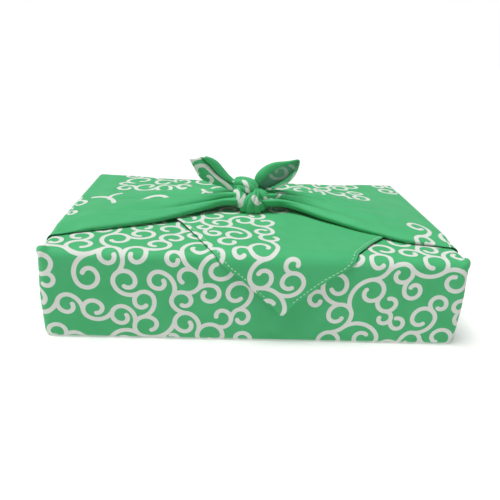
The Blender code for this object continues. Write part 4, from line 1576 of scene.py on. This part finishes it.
@dataclass
class Furoshiki:
    """The whole tied cloth."""

    sizes: WrapSizes = SIZES

    def knot(self) -> list[KnotStrand]:
        """Turns of the square knot, from the back to the front."""
        return [
            KnotStrand("core", (Bead(-15.0, 3.0, 87.0, 8.0, 8.5), Bead(-6.0, 2.0, 88.0, 9.5, 9.0),
                                Bead(4.0, 2.0, 87.0, 9.5, 9.0), Bead(14.0, 3.0, 86.0, 7.5, 8.0)),
                       (0.0, -1.0, 0.0), 5, 0.2, (-470.0, 10.0)),
            KnotStrand("left lobe", (Bead(-6.0, 10.0, 91.0, 5.0, 4.5),
                                     Bead(-11.0, 3.0, 96.5, 6.2, 5.2),
                                     Bead(-12.6, -4.6, 92.0, 6.2, 5.4),
                                     Bead(-10.6, -9.6, 84.5, 5.8, 5.0),
                                     Bead(-5.0, -8.0, 78.5, 4.6, 3.8)),
                       (-0.7, -1.0, 0.2), 4, 0.34, (-470.0, 60.0), phase=0.4),
            KnotStrand("right lobe", (Bead(1.0, -6.0, 94.0, 4.2, 4.0),
                                      Bead(7.5, -7.4, 89.5, 5.8, 5.2),
                                      Bead(11.2, -4.0, 84.0, 6.0, 5.8),
                                      Bead(13.0, 4.0, 82.0, 5.8, 5.4)),
                       (0.4, -1.0, 0.3), 4, 0.34, (-470.0, 210.0), phase=1.2),
            KnotStrand("front fan", (Bead(1.6, -4.0, 97.0, 3.4, 3.0),
                                     Bead(0.6, -9.6, 92.5, 4.6, 4.2),
                                     Bead(-1.2, -12.0, 86.0, 8.4, 5.2),
                                     Bead(-1.2, -10.4, 79.8, 11.6, 6.0),
                                     Bead(-1.0, -3.0, 76.4, 9.4, 4.6)),
                       (0.0, -1.0, 0.1), 7, 0.3, (-470.0, 110.0), drift=0.2, phase=0.2),
            KnotStrand("top lobe", (Bead(-18.0, 2.0, 98.0, 5.6, 4.6),
                                    Bead(-11.0, -2.0, 99.6, 6.4, 5.4),
                                    Bead(-4.0, -5.8, 98.4, 6.8, 5.6),
                                    Bead(2.0, -6.6, 93.5, 4.6, 4.0)),
                       (0.0, -1.0, 0.8), 5, 0.3, (-470.0, 160.0), phase=0.9),
        ]

    def ears(self) -> list[Ear]:
        """The two free ends."""
        left = Ear("left ear", (EarRow((-4.0, 87.0), (-2.0, 97.0), 0.0, 1.0),
                                EarRow((-14.0, 90.5), (-9.0, 99.0), -1.5, 1.0),
                                EarRow((-27.0, 95.0), (-16.0, 101.5), -1.0, 0.9),
                                EarRow((-40.0, 98.8), (-23.0, 106.5), -0.5, 0.8),
                                EarRow((-47.0, 101.6), (-28.0, 112.0), 0.0, 0.75),
                                EarRow((-51.3, 107.0), (-33.6, 118.0), 0.0, 0.7),
                                EarRow((-54.6, 113.0), (-38.5, 121.0), -0.5, 0.7),
                                EarRow((-58.0, 119.4), (-43.5, 122.4), -1.0, 0.7)),
                   ((0.06, -0.14), (0.0, -0.02), (0.16, 0.07), (0.34, 0.09), (0.52, 0.03),
                    (0.615, -0.10), (0.64, -0.17), (0.665, -0.07), (0.73, 0.09), (0.84, 0.15),
                    (0.95, 0.08), (1.0, -0.06), (0.94, -0.16)),
                   (-452.0, -40.0))
        right = Ear("right ear", (EarRow((4.0, 86.0), (-2.0, 95.0), 0.0, 0.9),
                                  EarRow((12.0, 93.0), (-0.6, 101.5), -1.0, 0.9),
                                  EarRow((23.2, 97.4), (2.2, 109.6), -1.0, 0.8),
                                  EarRow((30.5, 101.8), (8.2, 115.4), 0.0, 0.75),
                                  EarRow((35.5, 107.2), (17.2, 119.6), 0.5, 0.75),
                                  EarRow((38.0, 112.4), (25.6, 120.8), 0.5, 0.8),
                                  EarRow((39.2, 118.0), (31.5, 121.8), 0.0, 0.9),
                                  EarRow((39.4, 122.0), (37.4, 123.2), -0.5, 1.0)),
                    ((0.17, 0.08), (0.06, 0.13), (-0.005, 0.02), (0.1, -0.16), (0.3, -0.27),
                     (0.55, -0.27), (0.8, -0.17), (0.96, -0.03), (1.0, 0.08), (0.94, 0.17),
                     (0.82, 0.2), (0.69, 0.15)),
                    (440.0, -40.0))
        return [left, right]

    def build(self, materials: list[bpy.types.Material], sheet: WrapSheet) -> bpy.types.Object:
        """Make the cloth.

        Args:
            materials: face side, reverse side.
            sheet: the part of the cloth that lies round the box.

        Returns:
            The finished piece.
        """
        quilt = Quilt()
        sheet.build(quilt)
        sheet.lay_gusset(quilt)
        for part in (*self.knot(), *self.ears()):
            part.build(quilt)
            log.info("laid the %s", part.name)
        raw = quilt.make("furoshiki_cloth_layers")
        for material in materials:
            raw.data.materials.append(material)
        thick = raw.modifiers.new("cloth thickness", "SOLIDIFY")
        thick.thickness = self.sizes.cloth_thickness * MM
        thick.offset = 0.0
        thick.use_even_offset = False
        thick.material_offset = 1
        thick.material_offset_rim = 0
        piece = finished("furoshiki_cloth_visual", raw)
        vine = Arabesque()
        vine.grow()
        # listed strokes of print, with one painted highlight line along a crease of the left wing
        for stroke in LEFT_EAR_STROKES + RIGHT_EAR_STROKES + KNOT_STROKES + WING_PRINT_AND_HIGHLIGHT_STROKES:
            vine.arcs.append(stroke.arc())
        vine.paint(piece.data)
        log.info("%s: %d faces, %d curls", piece.name, len(piece.data.polygons), len(vine.curls))
        return piece


@dataclass(frozen=True)
class SewingThread:
    """Pale cotton thread, a dull thin line of dashes to the eye."""

    name: str = "cotton sewing thread"
    tint: str = "#C9DCCD"

    def make(self) -> bpy.types.Material:
        """Build the material."""
        material = bpy.data.materials.new(self.name)
        material.use_nodes = True
        surface = material.node_tree.nodes["Principled BSDF"].inputs
        surface["Base Color"].default_value = colour(self.tint)
        surface["Roughness"].default_value = 0.8
        return material


@dataclass(frozen=True)
class HemStitches:
    """Running stitches that hold the hem of the hanging corner."""

    pitch: float = 3.3
    length: float = 2.1
    girth: float = 0.5
    wobble: float = 0.07
    seed: int = 5

    def tree(self, thread: bpy.types.Material) -> bpy.types.NodeTree:
        """Node tree that sets stitches along the edges of a mesh.

        Args:
            thread: material of the stitches.

        Returns:
            The tree, with its sizes in metres as named inputs.
        """
        tree = bpy.data.node_groups.new("hem stitches", "GeometryNodeTree")
        tree.interface.new_socket("Path", in_out="INPUT", socket_type="NodeSocketGeometry")
        for name in ("Pitch", "Length", "Girth", "Wobble"):
            tree.interface.new_socket(name, in_out="INPUT", socket_type="NodeSocketFloat")
        tree.interface.new_socket("Seed", in_out="INPUT", socket_type="NodeSocketInt")
        tree.interface.new_socket("Stitches", in_out="OUTPUT", socket_type="NodeSocketGeometry")
        given = add_node(tree, "NodeGroupInput").outputs
        curve = add_node(tree, "GeometryNodeMeshToCurve", {0: given["Path"]}).outputs[0]
        even = add_node(tree, "GeometryNodeResampleCurve",
                        {"Curve": curve, "Length": given["Pitch"]}, mode="LENGTH").outputs[0]
        back = maths(tree, "MULTIPLY", given["Wobble"], -1.0)
        stray = add_node(tree, "FunctionNodeRandomValue", data_type="FLOAT_VECTOR")
        for place, value in ((0, back), (1, given["Wobble"]), (8, given["Seed"])):
            tree.links.new(value, stray.inputs[place])
        tangent = add_node(tree, "GeometryNodeInputTangent").outputs[0]
        way = add_node(tree, "ShaderNodeVectorMath", {0: tangent, 1: stray.outputs[0]},
                       operation="ADD").outputs[0]
        turned = add_node(tree, "FunctionNodeAlignRotationToVector", {"Vector": way}, axis="X")
        size = add_node(tree, "ShaderNodeCombineXYZ",
                        {0: given["Length"], 1: given["Girth"], 2: given["Girth"]}).outputs[0]
        bead = add_node(tree, "GeometryNodeMeshUVSphere",
                        {"Segments": 8, "Rings": 6, "Radius": 0.5}).outputs[0]
        placed = add_node(tree, "GeometryNodeInstanceOnPoints",
                          {"Points": even, "Instance": bead, "Rotation": turned.outputs[0],
                           "Scale": size}).outputs[0]
        real = add_node(tree, "GeometryNodeRealizeInstances", {0: placed}).outputs[0]
        dyed = add_node(tree, "GeometryNodeSetMaterial", {0: real, "Material": thread}).outputs[0]
        add_node(tree, "NodeGroupOutput", {0: dyed})
        return tree

    def build(self, lines: list[np.ndarray], thread: bpy.types.Material) -> bpy.types.Object:
        """Sew along lines.

        Args:
            lines: places along each line, in millimetres.
            thread: material of the stitches.

        Returns:
            The finished piece.
        """
        verts = np.concatenate(lines) * MM
        edges, start = [], 0
        for line in lines:
            edges += [(index, index + 1) for index in range(start, start + len(line) - 1)]
            start += len(line)
        path = bpy.data.meshes.new("hem path")
        path.from_pydata(verts.tolist(), edges, [])
        guide = placed("hem path", path)
        tree = self.tree(thread)
        sewn = guide.modifiers.new("stitches", "NODES")
        sewn.node_group = tree
        sizes = {"Pitch": self.pitch * MM, "Length": self.length * MM, "Girth": self.girth * MM,
                 "Wobble": self.wobble, "Seed": self.seed}
        for item in tree.interface.items_tree:
            if item.in_out == "INPUT" and item.name in sizes:
                sewn[item.identifier] = sizes[item.name]
        piece = finished("furoshiki_hem_stitches", guide)
        log.info("%s: %d faces", piece.name, len(piece.data.polygons))
        return piece


@dataclass(frozen=True)
class Studio:
    """Pale floor, soft lights and the camera."""

    camera_place: tuple[float, float, float] = (-0.03104, -0.46224, 0.22301)
    yaw: float = 0.066263
    pitch: float = 0.385925
    roll: float = 0.056695
    lens: float = 38.04
    room_glow: float = 0.16
    floor_glow: float = 0.34
    sun_way: tuple[float, float, float] = (-0.28, -0.05, 1.0)
    sun_power: float = 3.3
    sun_width: float = 30.0
    front_light_place: tuple[float, float, float] = (-0.6, -1.3, 0.9)
    front_light_target: tuple[float, float, float] = (0.0, 0.0, 0.05)
    front_light_size: float = 0.7
    front_light_power: float = 0.4
    floor_half: float = 6.0
    floor_tint: str = "#D2D2D0"

    def build(self) -> None:
        """Set up everything round the object."""
        self.camera()
        self.floor()
        self.lamp("ceiling of light", "SUN", Vector(), -Vector(self.sun_way),
                  angle=math.radians(self.sun_width), energy=self.sun_power)
        place = Vector(self.front_light_place)
        self.lamp("soft light in front", "AREA", place, Vector(self.front_light_target) - place,
                  size=self.front_light_size, energy=self.front_light_power)
        world = bpy.data.worlds.new("pale room")
        world.use_nodes = True
        tree = world.node_tree
        tree.nodes.clear()
        ways = add_node(tree, "ShaderNodeTexCoord").outputs["Generated"]
        height = add_node(tree, "ShaderNodeSeparateXYZ", {0: ways}).outputs[2]
        glow = add_node(tree, "ShaderNodeMapRange", {0: maths(tree, "ABSOLUTE", height), 1: 0.1,
                                                     2: 0.3, 3: 1.0, 4: self.room_glow})
        sky = add_node(tree, "ShaderNodeBackground", {"Color": colour("#FFFFFF"),
                                                      "Strength": glow.outputs[0]})
        add_node(tree, "ShaderNodeOutputWorld", {0: sky.outputs[0]})
        bpy.context.scene.world = world
        bpy.context.scene.view_settings.view_transform = "Standard"

    def camera(self) -> None:
        """Camera at the photograph's place."""
        ahead = Vector((math.sin(self.yaw) * math.cos(self.pitch),
                        math.cos(self.yaw) * math.cos(self.pitch), -math.sin(self.pitch)))
        level = ahead.cross(Vector((0.0, 0.0, 1.0))).normalized()
        above = level.cross(ahead)
        right = math.cos(self.roll) * level + math.sin(self.roll) * above
        up = -math.sin(self.roll) * level + math.cos(self.roll) * above
        data = bpy.data.cameras.new("camera")
        data.lens = self.lens
        data.clip_start = 0.01
        data.dof.use_dof = False
        holder = placed("camera", data)
        matrix = Matrix((right, up, -ahead)).transposed().to_4x4()
        matrix.translation = Vector(self.camera_place)
        holder.matrix_world = matrix
        bpy.context.scene.camera = holder

    def floor(self) -> None:
        """Wide pale floor."""
        mesh = bpy.data.meshes.new("floor")
        signs = ((-1, -1), (1, -1), (1, 1), (-1, 1))
        mesh.from_pydata([(x * self.floor_half, y * self.floor_half, 0.0) for x, y in signs], [],
                         [(0, 1, 2, 3)])
        floor = placed("floor", mesh)
        paper = bpy.data.materials.new("white paper backdrop")
        paper.use_nodes = True
        surface = paper.node_tree.nodes["Principled BSDF"].inputs
        surface["Base Color"].default_value = colour(self.floor_tint)
        surface["Roughness"].default_value = 0.9
        surface["Emission Color"].default_value = colour("#FFFFFF")
        surface["Emission Strength"].default_value = self.floor_glow
        mesh.materials.append(paper)

    def lamp(self, name: str, kind: str, place: Vector, aim: Vector, **settings: float) -> None:
        """Add a light.

        Args:
            name: its name.
            kind: Blender's type of light.
            place: where it hangs.
            aim: direction in which it shines.
            settings: its strength and size.
        """
        data = bpy.data.lights.new(name, kind)
        for key, value in settings.items():
            setattr(data, key, value)
        lamp = placed(name, data)
        lamp.location = place
        lamp.rotation_euler = aim.to_track_quat("-Z", "Y").to_euler()


def corners(box: tuple[Vector, Vector]) -> list[list[float]]:
    """A box's two corners as plain lists."""
    return [[float(value) for value in corner] for corner in box]


def main() -> None:
    """Build the scene."""
    logging.basicConfig(level=logging.INFO, format="%(message)s")
    strokes = stroke_group()
    materials = [FACE_SIDE.make(strokes), REVERSE_SIDE.make(strokes)]
    sheet = WrapSheet()
    cloth = Furoshiki().build(materials, sheet)
    stitches = HemStitches().build(sheet.hem_lines, SewingThread().make())
    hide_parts("furoshiki_cloth")
    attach(cloth, "root")
    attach(stitches, "root")
    Studio().build()


if __name__ == "__main__":
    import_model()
    main()
